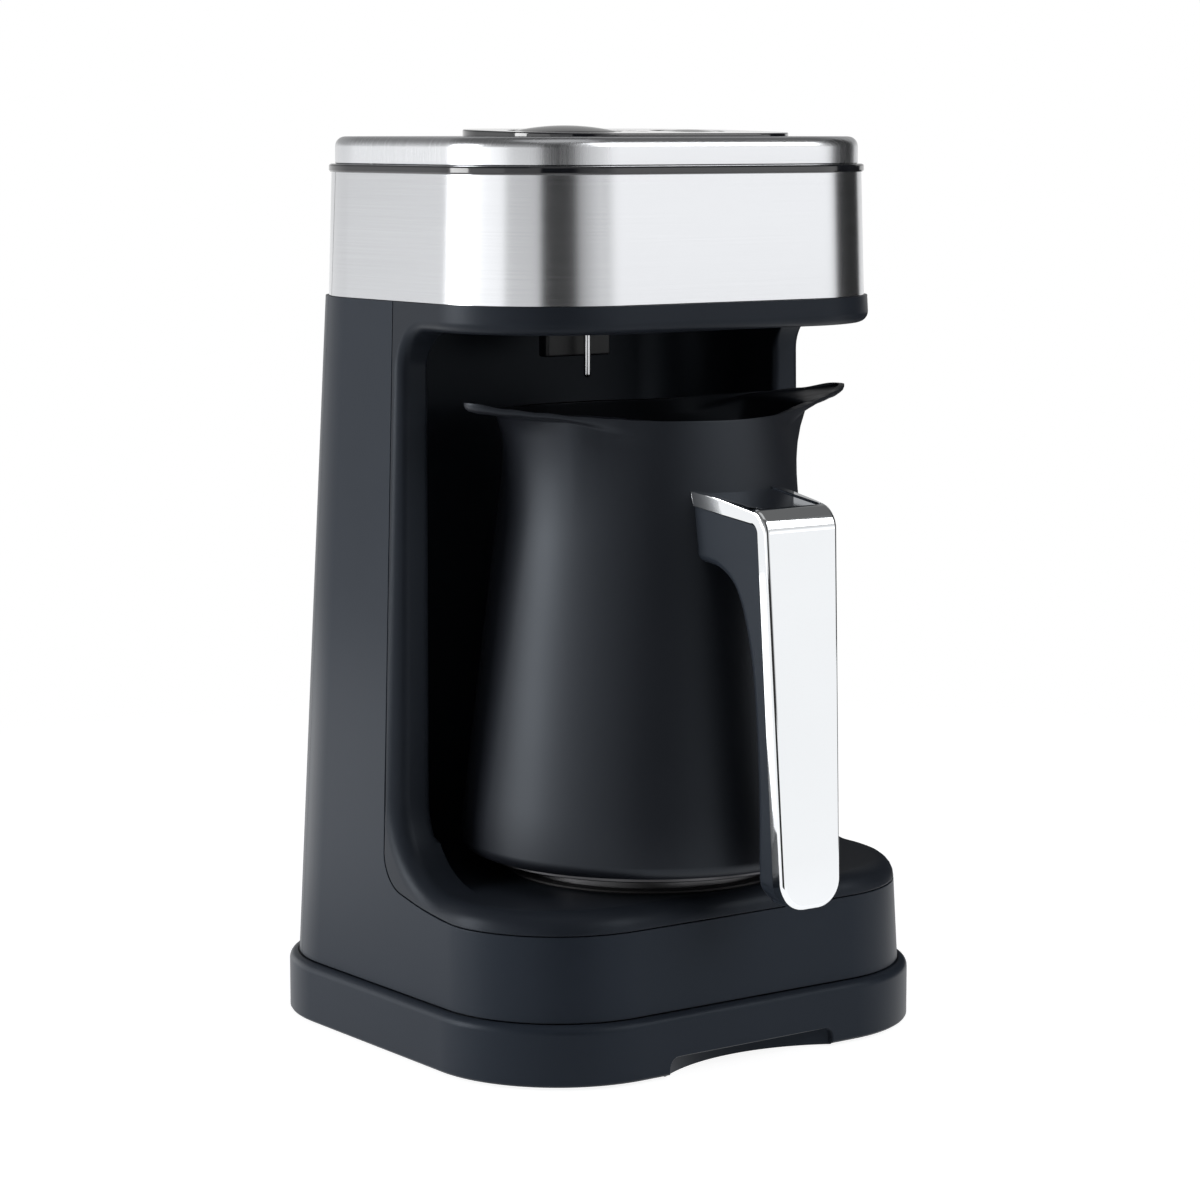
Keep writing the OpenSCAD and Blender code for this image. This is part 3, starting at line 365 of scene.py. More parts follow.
def add_copy(bm, part, spots, lay_back=False):
    """Adds a copy of part at each spot; lay_back turns it to point backwards."""
    mesh = bpy.data.meshes.new("part")
    if lay_back:
        bmesh.ops.rotate(part, cent=(0, 0, 0), matrix=turn_x(90), verts=part.verts)
    part.to_mesh(mesh)
    part.free()
    for spot in spots:
        before = set(bm.verts)
        bm.from_mesh(mesh)
        bmesh.ops.translate(bm, vec=spot, verts=[v for v in bm.verts if v not in before])
    bpy.data.meshes.remove(mesh)


def back_face(z):
    return rear_line(z) + REAR_WRAP


add_copy(liner, hollow_post(POST_R, POST_HOLE, 4.5, DECK_Z - 1.0),
         [(x, y, 0) for x in (-58, 58) for y in (-30, 26)])
for height in (66.0, 196.0):
    seat = back_face(height) - WALL - 1.2
    add_copy(liner, hollow_post(POST_R, POST_HOLE, 0, seat - NICHE_Y - 1),
             [(x, seat, height) for x in (-40, 40)], True)
add_copy(liner, hollow_post(BOARD_POST_R, BOARD_POST_HOLE, 0, BOARD_GAP - 1.0),
         [(x, NICHE_Y + BOARD_GAP, z) for x in (-25, 25) for z in (84, 164)], True)
liner_piece = make_piece(liner, "liner_moulding")
side_piece = make_piece(side_skin, "side_shells")

# %% [markdown]
# ## The base skirt
# The machine stands on a low skirt, a little wider than the body, with a rounded shoulder, a fine
# bead where the body sits down into it and a hand notch under the front edge. It is a loft through
# the shoulder's heights, hollowed from below. Behind the notch the floor under the machine lies in
# shade, so a thin arc of the skirt's dark plastic is turned as painted shade, cut to the notch's
# width and added to the same mesh.

# %% Loft the skirt and cut its notch
SKIRT, SKIRT_H, SHOULDER = (163.0, 155.0, 42.0), 19.0, 3.0
SKIRT_WELL = (147.0, 139.0, 34.0)
NOTCH_HALF, NOTCH_Z = 30.0, 6.0
# radius and place of the dark arc that is painted shade behind the notch
SHADE_ARC_R, SHADE_ARC_Y = 60.0, -67.2
QUARTER = [math.radians(a) for a in (0, 15, 30, 45, 60, 75, 90)]      # the steps of a quarter round

skirt_levels = [level(SKIRT, 1.0, 0.7), level(SKIRT, 1.25, 0.3), level(SKIRT, 1.7)]
skirt_levels += [level(SKIRT, SKIRT_H - SHOULDER + (SHOULDER - 0.3) * math.sin(a), 2.5 * (1 - math.cos(a)))
                 for a in QUARTER]
skirt_levels += [level(SKIRT, 18.2, 3.0), level(SKIRT, 18.15, 4.0)]
skirt = loft(skirt_levels, 28)
skirt = carve(skirt, slab(BODY_FOOT[1:], -1, 16.5, 28))
skirt = carve(skirt, slab(SKIRT_WELL, 10, 21, 28))
notch = drawn_out([(-NOTCH_HALF, -2), (NOTCH_HALF, -2), (NOTCH_HALF, NOTCH_Z), (-NOTCH_HALF, NOTCH_Z)],
                  {2: 3.0, 3: 3.0}, 39.0, "Y", 8)
bmesh.ops.translate(notch, vec=(0, -74.5, 0), verts=notch.verts)
skirt = carve(skirt, notch)
soften(skirt, 0.5, 3, lambda p: p.y < -76.5 and abs(p.x) < NOTCH_HALF + 0.2 and 1.2 < p.z < NOTCH_Z + 0.2)
# painted shade: this thin dark arc behind the notch stands for the shade under the machine
stop = turned([(SHADE_ARC_R, 0.4), (SHADE_ARC_R + 1.5, 0.4), (SHADE_ARC_R + 1.5, 7.5), (SHADE_ARC_R, 7.5)],
              (0, SHADE_ARC_Y - SHADE_ARC_R), 240)
stop = carve(stop, slab((2 * NOTCH_HALF + 2, 16, 0), -5, 12, 1, shift=-67.5), "INTERSECT")
add_copy(skirt, stop, [(0, 0, 0)])
skirt_piece = make_piece(skirt, "skirt_moulding")

# %% [markdown]
# ## The steel band
# A thin sheet wraps the head and leans in slightly towards the top. It is parted at the same
# slanted line as the rear cover. A mirror-like sheet shows every facet, so its corners get many
# more segments than the plastic's.

# %% Wrap the band and part it
BAND_Z, RING_Z = 220.0, 256.5
SHEET = 0.6


def head_level(z, inset):
    return level(BODY_TOP[1:], z, 1.0 + inset + 1.15 * (z - BAND_Z) / (RING_Z - BAND_Z))


def band():
    sheet = loft([head_level(BAND_Z, 0.15), head_level(BAND_Z + 0.2, 0), head_level(RING_Z, 0)], 48)
    return carve(sheet, loft([head_level(BAND_Z - 1, SHEET), head_level(RING_Z + 1, SHEET)], 48))


front_band = make_piece(carve(band(), behind_seam(GAP)), "brushed_band")
back_band = make_piece(carve(band(), behind_seam(), "INTERSECT"), "rear_band_sheet")

# %% [markdown]
# ## Ring, cover and panel
# Above the band come a black gloss ring with rounded edges, a pressed steel cover with a soft
# shoulder, and a thin gloss panel that rises towards the back. Rounded edges matter most here:
# seen almost level, the ring and the cover are nothing but edges catching the light.

# %% Ring and cover
RING, COVER_Z, LID_TOP = (144.7, 122.7, 37.15), 259.0, 267.0
COVER_IN, COVER_R, COVER_SKIN = 1.9, 3.0, 0.8
PANEL, PANEL_Y, PLUG = (96.0, 64.0, 24.0), -15.0, (84.0, 42.0, 12.0)

ring = loft([level(RING, z, inset) for z, inset in (
    (RING_Z, 0.7), (RING_Z + 0.2, 0.25), (RING_Z + 0.6, 0.0),
    (COVER_Z - 0.6, 0.0), (COVER_Z - 0.2, 0.25), (COVER_Z, 0.8))], 40)
ring = carve(ring, loft([level(RING, RING_Z - 1, 6), level(RING, COVER_Z + 1, 6)], 24))
ring_piece = make_piece(ring, "gloss_ring")

cover_levels = [level(RING, COVER_Z, COVER_IN + 0.25), level(RING, COVER_Z + 0.3, COVER_IN)]
cover_levels += [level(RING, LID_TOP - COVER_R * (1 - math.sin(a)), COVER_IN + COVER_R * (1 - math.cos(a)))
                 for a in QUARTER]
cover = loft(cover_levels, 40)
cover = carve(cover, loft([level(RING, z, COVER_IN + inset) for z, inset in (
    (COVER_Z - 1, 1.2), (LID_TOP - 2.0, 1.2), (LID_TOP - COVER_SKIN, 2.6))], 24))
cover = carve(cover, slab(level(PLUG, 0, -0.15)[1:], 255, 275, shift=PANEL_Y))
add_copy(cover, turned([(1.55, 256.5), (4, 256.5), (4, 266.4), (1.55, 266.4)], steps=32),
         [(x * a, b, 0) for x in (-1, 1) for a, b in ((50, -42), (60, 20))])
cover_piece = make_piece(cover, "steel_cover_pressing")

# %% Panel with its button wells
BUTTON_X, START_R, CUP_R, BUTTON_GAP = 22.5, 16.5, 11.0, 0.3
GUIDE_Z, PLUG_Z = 261.0, 263.0
WELLS = ((-BUTTON_X, START_R), (BUTTON_X, CUP_R))


def panel_top(y):
    return LID_TOP + mix(1.0, 2.3, (y - PANEL_Y + PANEL[1] / 2) / PANEL[1])


def on_well_rim(p):
    return p.z > LID_TOP + 0.5 and any(
        abs(math.hypot(p.x - x, p.y - PANEL_Y) - r - BUTTON_GAP) < 0.02 for x, r in WELLS)


panel = loft([level(PANEL, LID_TOP, 0.15), level(PANEL, LID_TOP + 0.15), level(PANEL, LID_TOP + 1.0)],
             24, CORNERS, PANEL_Y)
for v in panel.verts:
    if v.co.z > LID_TOP + 0.9:
        v.co.z = panel_top(v.co.y)
soften(panel, 0.45, 4, lambda p: p.z > LID_TOP + 0.9)
panel = carve(panel, slab(PLUG, GUIDE_Z, LID_TOP + 0.2, shift=PANEL_Y), "UNION")
lens_spots = [(1.5, PANEL_Y + 6 * i) for i in (-1, 0, 1)]
# each hole is (radius, lower stem's radius, place, segments of the two)
for upper, lower, spot, fine, coarse in (
        [(r + BUTTON_GAP, 2.05, (x, PANEL_Y), 96, 32) for x, r in WELLS]
        + [(1.75, 1.1, spot, 32, 24) for spot in lens_spots]):
    panel = carve(panel, rod(upper, PLUG_Z, 275, spot, fine))
    panel = carve(panel, rod(lower, GUIDE_Z - 1, PLUG_Z + 1, spot, coarse))
rims = soften(panel, 0.2, 2, on_well_rim)
add_copy(panel, turned([(1.05, 252), (3, 252), (3, 261.2), (1.05, 261.2)], steps=32),
         [(x, PANEL_Y + y, 0) for x in (-37, 37) for y in (-15, 15)])
panel_piece = make_piece(panel, "panel_moulding")
print("well rims eased:", rims)

# %% [markdown]
# ### The two buttons
# A large and a small domed cap stand in the wells, each with a stem that reaches down to its
# switch. A dome is part of a sphere, so its profile is worked out from its radius and its rise,
# and the whole button is one turned piece with an eased rim.

# %% Turn the two domed buttons
STEM_Z, CAP_Z = 257.55, 264.2


def button(x, radius, rise):
    """A dome on a skirted cap with an eased edge, on a thin stem."""
    edge = panel_top(PANEL_Y) - 0.4
    dome = (radius ** 2 + rise ** 2) / (2 * rise)
    arc = [i / 14 * math.asin((radius - 0.5) / dome) for i in range(14, -1, -1)]
    profile = [(0, STEM_Z), (1.8, STEM_Z), (2, STEM_Z + 0.2), (2, CAP_Z), (radius - 0.3, CAP_Z),
               (radius, CAP_Z + 0.3), (radius, edge - 0.45), (radius - 0.12, edge - 0.15)]
    profile += [(dome * math.sin(a), edge + rise - dome * (1 - math.cos(a))) for a in arc]
    return turned(profile, (x, PANEL_Y), 128)


start_piece = make_piece(button(-BUTTON_X, START_R, 2.0), "start_button_cap")
cup_piece = make_piece(button(BUTTON_X, CUP_R, 0.8), "cup_button_cap")

# %% [markdown]
# ## The foam probe
# A thin steel rod hangs from the roof of the bay and tells the machine when the foam has risen.
# It has a rounded tip, and sits in a small dark holder whose block stands against the roof.

# %% Probe and holder
PROBE_R, PROBE_Z, PROBE_TOP = 1.05, 194.7, 218.5
tip = [(PROBE_R * math.sin(a), PROBE_Z + PROBE_R * (1 - math.cos(a))) for a in QUARTER]
probe_piece = make_piece(turned([(0, PROBE_Z)] + tip[1:] + [(PROBE_R, PROBE_TOP), (0, PROBE_TOP)],
                                (0, PROBE_Y), 32), "probe_rod")
holder = slab((24, 5, 1.2), MOUTH_TOP - 11, MOUTH_TOP, 4, shift=PROBE_Y + 6.5)
soften(holder, 0.8, 3, lambda p: p.z < MOUTH_TOP - 10.9)
for joined in (slab((8, 5, 0), MOUTH_TOP - 2, MOUTH_TOP - 0.01, 1, shift=PROBE_Y + 2.5),
               rod(4.0, MOUTH_TOP - 2, MOUTH_TOP + WALL + 4, (0, PROBE_Y), 48, 0.3),
               rod(7.0, MOUTH_TOP + WALL, MOUTH_TOP + WALL + 2, (0, PROBE_Y), 48)):
    holder = carve(holder, joined, "UNION")
holder = carve(holder, rod(PROBE_R + 0.05, MOUTH_TOP - 20, 230, (0, PROBE_Y), 32))
holder_piece = make_piece(holder, "probe_holder_moulding")

# %% [markdown]
# ## Hot plate, seal and feet
# The cast plate stands a few millimetres proud of the deck inside a silicone seal, and the machine
# stands on four rubber feet. All are turned, with the small roundings that a casting and a rubber
# part have.

# %% Turn the plate, the seal and the rubber feet
PLATE_TOP, PLATE_LOW = 55.0, 49.0
plate = turned([(0, PLATE_LOW), (PLATE_R - 0.4, PLATE_LOW), (PLATE_R, PLATE_LOW + 0.4),
                (PLATE_R, PLATE_TOP - 1.1), (PLATE_R - 0.3, PLATE_TOP - 0.4),
                (PLATE_R - 1, PLATE_TOP - 0.06), (PLATE_R - 2, PLATE_TOP), (0, PLATE_TOP)], (0, POT_Y), 96)
add_copy(plate, rod(3.2, 36.7, 49.2, steps=32),
         [(33 * math.cos(a), POT_Y + 33 * math.sin(a), 0) for a in map(math.radians, (30, 150, 270))])
plate_piece = make_piece(plate, "plate_casting")
seal = turned([(38.1, 47.5), (40, 47.5), (40, 50), (41.6, 50), (42, 50.4), (41.8, 50.8), (41.2, 51),
               (38.6, 51), (38.1, 50.6)], (0, POT_Y), 96)
seal_piece = make_piece(seal, "plate_seal")
feet = bmesh.new()
foot = turned([(0, 0), (6.2, 0), (6.8, 0.2), (7, 0.7), (7, 3.0), (6.8, 3.2), (0, 3.2)], steps=48)
add_copy(feet, foot, [(x, y, 0) for x in (-54, 54) for y in (-48, 50)])
feet_piece = make_piece(feet, "rubber_foot_set")

# %% [markdown]
# ## The pot
# The pot is drawn from one sheet: a flat floor, a rounded foot, a wall that tapers up, and a rim
# pulled out into a pouring lip on each side, so either hand can pour. The sheet is grown ring by
# ring with extrude. Seen from above, the lips' outline is a belt round the rim and two small tip
# circles, so each ring keeps the belt's own angles and simply reaches further as it nears the rim.
# Under the lips the wall itself already opens, slowly at first and then faster, which blends the
# lip into the wall without a fold.

# %% Outline of the lips
RIM_R, RIM_Z, FOOT_R, FOOT_Z, FOOT_ROUND = 41.3, 187.0, 56.3, 56.7, 4.0
TIP_X, TIP_LEAN, TIP_R, LIP_REACH = 63.1, -6.0, 5.5, 68.6
COLUMNS = 208


def belt(angle):
    """How far the belt round the rim and the two tips reaches in a direction."""
    reach = LIP_REACH * 2
    for step in range(-160, 161):
        lean = math.radians(step / 2)
        c, s = math.cos(angle + lean), math.sin(angle + lean)
        hold = max(RIM_R, TIP_R + TIP_X * abs(c) + TIP_LEAN * s)
        reach = min(reach, hold / math.cos(lean))
    return reach


def even_angles(count):
    """Angles that step evenly along the belt, so the narrow tips get their share of points."""
    fine = [math.tau * i / 1440 for i in range(1441)]
    spots = [Vector((belt(a) * math.cos(a), belt(a) * math.sin(a))) for a in fine]
    run = [0.0]
    for p, q in zip(spots, spots[1:]):
        run.append(run[-1] + (q - p).length)
    angles, k = [], 0
    for i in range(count):
        want = run[-1] * i / count
        while run[k + 1] < want:
            k += 1
        angles.append(mix(fine[k], fine[k + 1], (want - run[k]) / (run[k + 1] - run[k])))
    return angles


def cone_r(z):
    return mix(FOOT_R, RIM_R, (z - FOOT_Z - FOOT_ROUND) / (RIM_Z - FOOT_Z - FOOT_ROUND))


angles = even_angles(COLUMNS)
reaches = [belt(a) for a in angles]
print("lips reach from", round(min(reaches), 1), "to", round(max(reaches), 1), "mm")

# %% Grow the sheet ring by ring
# under a lip the wall opens from FLARE_FROM up to SHELF; elsewhere it stays a plain cone to WALL_TOP
FLARE, FLARE_FROM, WALL_TOP, SHELF = 0.165, 157.0, 182.5, 186.3
# then each row of the lip is (share of the way out, share of the way up to the edge)
LIP_ROWS = ((0.04, 0.10), (0.12, 0.17), (0.30, 0.25), (0.55, 0.35), (0.78, 0.46), (0.92, 0.58),
            (0.98, 0.72), (1.0, 0.86), (1.0, 1.0))
# the edge's height at a distance to the side
EDGE_HEIGHTS = ((0, 186.7), (20, 186.9), (28, 187.2), (34, 187.7), (42, 188.4), (52, 189.6),
                (60, 190.7), (68.6, 192.4))


def smooth(t):
    t = clamp(t)
    return t * t * (3 - 2 * t)


def edge_height(x):
    for (x0, z0), (x1, z1) in zip(EDGE_HEIGHTS, EDGE_HEIGHTS[1:]):
        if x <= x1:
            return mix(z0, z1, smooth((x - x0) / (x1 - x0)))
    return EDGE_HEIGHTS[-1][1]


def ring_points(place):
    """One ring of the sheet; place(pull, reach, edge height) gives its radius and height."""
    points = []
    for a, reach in zip(angles, reaches):
        r, z = place((reach - RIM_R) / (LIP_REACH - RIM_R), reach, edge_height(abs(reach * math.cos(a))))
        points.append((r * math.cos(a), r * math.sin(a), z))
    return points


rings = [ring_points(lambda *at: (FOOT_R - FOOT_ROUND, FOOT_Z))]
for a in QUARTER[1:]:
    r, z = FOOT_R - FOOT_ROUND * (1 - math.sin(a)), FOOT_Z + FOOT_ROUND * (1 - math.cos(a))
    rings.append(ring_points(lambda *at: (r, z)))
for z in (75, 95, 115, 135):
    rings.append(ring_points(lambda *at: (cone_r(z), z)))


def lifted(pull):
    """How much of the lip's shape a direction gets: 0 along the plain rim, 1 towards a tip."""
    return smooth(pull * 2.6)


def opened(pull, t):
    """Radius and height of the wall at share t of the way from 150 mm up to where the lip starts."""
    z = mix(150.0, mix(WALL_TOP, SHELF, lifted(pull)), t)
    rise = max(z - FLARE_FROM, 0)
    return cone_r(z) + FLARE * lifted(pull) * rise * (0.5 + (rise / 32) ** 2), z


def lip_point(pull, reach, edge, share, up):
    r, z = opened(pull, 1.0)
    return mix(r, reach, mix(up, share, lifted(pull))), mix(z, edge, up)


for i in range(9):
    rings.append(ring_points(lambda pull, *at: opened(pull, i / 8)))
for share, up in LIP_ROWS:
    rings.append(ring_points(lambda pull, reach, edge: lip_point(pull, reach, edge, share, up)))

pot = bmesh.new()
first = bmesh.ops.create_circle(pot, cap_ends=True, segments=COLUMNS, radius=FOOT_R)["verts"]
ring_index = {v: i for i, v in enumerate(first)}
for v, i in ring_index.items():
    v.co = rings[0][i]
for points in rings[1:]:
    border = [e for v in ring_index for e in v.link_edges if e.is_boundary]
    made = bmesh.ops.extrude_edge_only(pot, edges=list(set(border)))["geom"]
    fresh = {}
    for v in (g for g in made if isinstance(g, bmesh.types.BMVert)):
        old = next(e.other_vert(v) for e in v.link_edges if e.other_vert(v) in ring_index)
        fresh[v] = ring_index[old]
    for v, i in fresh.items():
        v.co = points[i]
    ring_index = fresh
bmesh.ops.recalc_face_normals(pot, faces=pot.faces)
bmesh.ops.translate(pot, vec=(0, POT_Y, 0), verts=pot.verts)
pot_piece = make_piece(pot, "pot_spun_shell", 50)

# %% [markdown]
# The sheet becomes a wall with a Solidify modifier that grows inwards, and a small Bevel rounds
# the cut edge of the rim. Both stay live, because they are cheap and easy to change later. A thin
# metal disc closes the foot and is what touches the hot plate; its colour is made dark as painted
# shade under the pot.

# %% Give the sheet its thickness
pot_piece.modifiers.remove(pot_piece.modifiers["even shading"])
thick = pot_piece.modifiers.new("wall", "SOLIDIFY")
thick.thickness, thick.offset, thick.use_even_offset = 1.6 * MM, -1, True
round_rim = pot_piece.modifiers.new("rolled rim", "BEVEL")
round_rim.width, round_rim.segments, round_rim.limit_method = 0.55 * MM, 3, "ANGLE"
round_rim.angle_limit = math.radians(55)
disc = turned([(0, 55.1), (49.6, 55.1), (50, 55.4), (50, 56.6), (49.9, 56.7), (0, 56.7)], (0, POT_Y), 128)
disc_piece = make_piece(disc, "pot_foot_disc")

# %% [markdown]
# ## The handle
# The handle is three pieces: a chrome strap bent over at the top, a polished pad let into the
# strap's top, and a dark grip behind with a hollow for the fingers. Each is a side profile drawn
# out sideways and then trimmed to the same front outline, which narrows downwards and ends in a
# rounded foot. All three then widen towards the root, where the handle lies broad against the pot,
# and are cut to the pot's own cone. The strap's outer edges get a generous radius, as polished
# metal has.

# %% Outlines shared by the handle's pieces
HANDLE_TOP, HANDLE_LOW, HANDLE_Y, HANDLE_LOW_Y, ROOT_Y = 167.0, 50.3, -97.5, -104.0, -67.3
HANDLE_HALF, FOOT_HALF, ROOT_FLARE = 13.4, 10.5, 0.2
TRIM_T, TRIM_LOW_T, TRIM_EDGE, TRIM_BEND = 3.9, 4.7, 2.2, 6.2
INNER_END = ROOT_Y + 8


def front_y(z):
    return mix(HANDLE_LOW_Y, HANDLE_Y, (z - HANDLE_LOW) / (HANDLE_TOP - HANDLE_LOW))


def top_z(y):
    return HANDLE_TOP - 3.4 * (1 - (y - HANDLE_Y) / (ROOT_Y - HANDLE_Y))


def strap_depth(p):
    return min(p.y - front_y(p.z), top_z(p.y) - p.z)


def at_depth(low=-FAR, high=FAR):
    """Picks the handle's points between two depths under its outer face, but not at its root."""
    return lambda p: low < strap_depth(p) < high and p.y < INNER_END - 0.1


def front_outline(grow=0.0):
    low, high = FOOT_HALF + grow, HANDLE_HALF + grow
    points = [(-low, HANDLE_LOW), (low, HANDLE_LOW), (high + 0.1, 176), (-high - 0.1, 176)]
    bm = drawn_out(points, {0: 8.0, 1: 8.0}, 60, "Y", 14)
    bmesh.ops.translate(bm, vec=(0, -95, 0), verts=bm.verts)
    return bm


def fitted(bm):
    """Widens a piece towards the handle's root, then cuts away the room that the pot takes."""
    for v in bm.verts:
        v.co.x *= 1 + ROOT_FLARE * clamp((v.co.y + 92) / 25) ** 1.4
    room = bmesh.new()
    bmesh.ops.create_cone(room, cap_ends=True, segments=128, radius1=cone_r(60) + 0.1,
                          radius2=cone_r(180) + 0.1, depth=120)
    bmesh.ops.translate(room, vec=(0, POT_Y, 120), verts=room.verts)
    return carve(bm, room)


print("handle:", round(HANDLE_TOP - HANDLE_LOW, 1), "mm high and", 2 * HANDLE_HALF, "mm wide at its top")

# %% Chrome strap
corner_z = top_z(HANDLE_Y)
bed_front, bed_half = HANDLE_Y + 5, HANDLE_HALF - TRIM_EDGE
strap = drawn_out([(front_y(HANDLE_LOW), HANDLE_LOW), (front_y(corner_z), corner_z),
                   (INNER_END, top_z(INNER_END)), (INNER_END, top_z(INNER_END) - TRIM_T),
                   (front_y(corner_z) + TRIM_T, corner_z - TRIM_T),
                   (front_y(HANDLE_LOW) + TRIM_LOW_T, HANDLE_LOW)], {1: TRIM_BEND, 4: 2.4}, 20, segments=10)
strap = carve(strap, front_outline(), "INTERSECT")
soften(strap, 1.5, 5, at_depth(high=2.6))
soften(strap, 0.25, 2, at_depth(low=3.2))
strap = carve(strap, slab((2 * bed_half, 60, 1.0), HANDLE_TOP - 20, HANDLE_TOP + 20, 4, shift=bed_front + 30))
soften(strap, 0.3, 2, lambda p: at_depth(high=0.3)(p) and abs(p.x) < bed_half + 0.1 and p.y > bed_front - 0.1)
strap_piece = make_piece(fitted(strap), "chrome_strap")

# %% Polished pad
pad_front, pad_sink = bed_front + 0.15, 0.4
pad = drawn_out([(pad_front, top_z(pad_front) - pad_sink), (INNER_END, top_z(INNER_END) - pad_sink),
                 (INNER_END, top_z(INNER_END) - TRIM_T), (pad_front, top_z(pad_front) - TRIM_T)],
                {}, bed_half - 0.15)
soften(pad, 0.5, 3, lambda p: strap_depth(p) < 0.6 or p.z > 160 and abs(p.y - pad_front) < 0.05)
pad_piece = make_piece(fitted(pad), "gloss_pad")

# %% Grip with its finger hollow
HOLLOW = ((ROOT_Y + 8, 147.2), (ROOT_Y - 5, 146.6), (ROOT_Y - 11, 144.7), (ROOT_Y - 15.9, 140),
          (ROOT_Y - 19.4, 131), (ROOT_Y - 22.2, 117), (-91, 97), (-91.5, 80), (-91.2, 62.3),
          (-91.7, 55.3), (-94.6, 51.3))


def flowing(points, per=5):
    """A smooth line through the points, a few steps to each stretch."""
    line = []
    for i in range(len(points) - 1):
        p0, p1, p2, p3 = (Vector(points[min(max(i + k, 0), len(points) - 1)]) for k in (-1, 0, 1, 2))
        for s in range(per):
            t = s / per
            line.append(0.5 * (2 * p1 + (p2 - p0) * t + (2 * p0 - 5 * p1 + 4 * p2 - p3) * t * t
                               + (3 * p1 - p0 - 3 * p2 + p3) * t ** 3))
    return line + [Vector(points[-1])]


behind = TRIM_T + 0.15
grip_front = front_y(corner_z) + behind
grip = drawn_out([(INNER_END, top_z(INNER_END) - behind), (grip_front + 0.4, corner_z - behind - 0.2),
                  (grip_front, corner_z - behind - 3),
                  (front_y(HANDLE_LOW + 0.4) + TRIM_LOW_T + 0.15, HANDLE_LOW),
                  *[(p.x, p.y) for p in flowing(HOLLOW)][::-1]], {}, 20)
grip = carve(grip, front_outline(-0.3), "INTERSECT")
soften(grip, 2.6, 5, lambda p: at_depth(low=6.3)(p) and p.z > HANDLE_LOW + 1.6)
# the pocket is the room for the bracket that holds the handle to the pot
grip = carve(fitted(grip), slab((16.3, 32, 0), 149.85, 160.15, 1, shift=-61.0))
grip_piece = make_piece(grip, "grip_moulding")

# %% [markdown]
# ## What stands for what
# Each new piece rides on the body that carries it, hides the plain solid it stands for, and names
# the material slot of that solid. One table keeps the three together.

# %% Ride, replace and name the slots
DRESSED = (
    (liner_piece, "housing", "niche_liner", "liner_plastic"),
    (side_piece, "housing", "outer_shell", "body_plastic"),
    (skirt_piece, "housing", "base_skirt", "body_plastic"),
    (front_band, "housing", "steel_band", "band_steel"),
    (back_band, "housing", "rear_band", "band_steel"),
    (ring_piece, "housing", "trim_ring", "trim_gloss"),
    (cover_piece, "housing", "top_cover", "cover_steel"),
    (panel_piece, "housing", "control_panel", "panel_gloss"),
    (start_piece, "start_button", "start_button", "button_gloss"),
    (cup_piece, "cup_button", "cup_button", "button_gloss"),
    (probe_piece, "housing", "foam_probe", "probe_steel"),
    (holder_piece, "housing", "probe_holder", "holder_plastic"),
    (plate_piece, "housing", "hot_plate", "plate_cast"),
    (seal_piece, "housing", "plate_gasket", "silicone"),
    (feet_piece, "housing", "rubber_feet", "rubber"),
    (pot_piece, "pot", "pot_shell", "pot_coating"),
    (disc_piece, "pot", "pot_base_disc", "disc_metal"),
    (strap_piece, "pot", "handle_trim", "handle_chrome"),
    (pad_piece, "pot", "handle_pad", "pad_gloss"),
    (grip_piece, "pot", "handle_grip", "grip_plastic"),
)
for piece, body, solid, slot in DRESSED:
    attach(piece, body)
    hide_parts(solid)
print(len(DRESSED), "dressed pieces")

# %% [markdown]
# ## Surface effects shared by many materials
# Two things make these surfaces look real: the fine grain of a moulding tool with a faint
# unevenness of tone, and the lines that brushing leaves in steel. Each is a node group that puts
# out a tone, a roughness and a normal, so that a material only chooses the numbers. Both read
# Object coordinates, which stay put when a piece moves.

# %% Node helpers
def node(tree, kind, settings=None, **inputs):
    """Adds a shader node; inputs are numbers or sockets to link from, and i0, i1... go by place."""
    made = tree.nodes.new("ShaderNode" + kind)
    for key, value in (settings or {}).items():
        setattr(made, key, value)
    for key, value in inputs.items():
        by_place = key[0] == "i" and key[1:].isdigit()
        socket = made.inputs[int(key[1:]) if by_place else key.replace("_", " ")]
        if isinstance(value, bpy.types.NodeSocket):
            tree.links.new(value, socket)
        else:
            socket.default_value = value
    return made


def maths(tree, operation, *values):
    """A Math node's answer."""
    numbered = {f"i{i}": value for i, value in enumerate(values)}
    return node(tree, "Math", {"operation": operation}, **numbered).outputs[0]


def surface_group(name, numbers, pattern):
    """A group with inputs {name: default}; pattern gives its tone, its height and the bump's reach."""
    tree = bpy.data.node_groups.new(name, "ShaderNodeTree")
    for label, value in numbers.items():
        socket = tree.interface.new_socket(name=label, in_out="INPUT", socket_type="NodeSocketFloat")
        socket.default_value = value
    for label, kind in (("Tone", "Float"), ("Roughness", "Float"), ("Normal", "Vector")):
        tree.interface.new_socket(name=label, in_out="OUTPUT", socket_type="NodeSocket" + kind)
    given, out = tree.nodes.new("NodeGroupInput").outputs, tree.nodes.new("NodeGroupOutput").inputs
    tone, height, distance = pattern(tree, given, node(tree, "TexCoord").outputs["Object"])
    bump = node(tree, "Bump", Strength=given["Depth"], Distance=distance, Height=height)
    tree.links.new(tone, out["Tone"])
    tree.links.new(maths(tree, "MULTIPLY_ADD", tone, given["Spread"], given["Roughness"]), out["Roughness"])
    tree.links.new(bump.outputs["Normal"], out["Normal"])
    return tree


print("helpers: node, maths, surface_group")

# %% Moulded grain and brushed lines
def moulded_grain(tree, given, place):
    grain = node(tree, "TexNoise", Vector=place, Scale=given["Grain"], Detail=1.5)
    patches = node(tree, "TexNoise", Vector=place, Scale=given["Patches"], Detail=3.0)
    return patches.outputs["Fac"], grain.outputs["Fac"], 0.0001


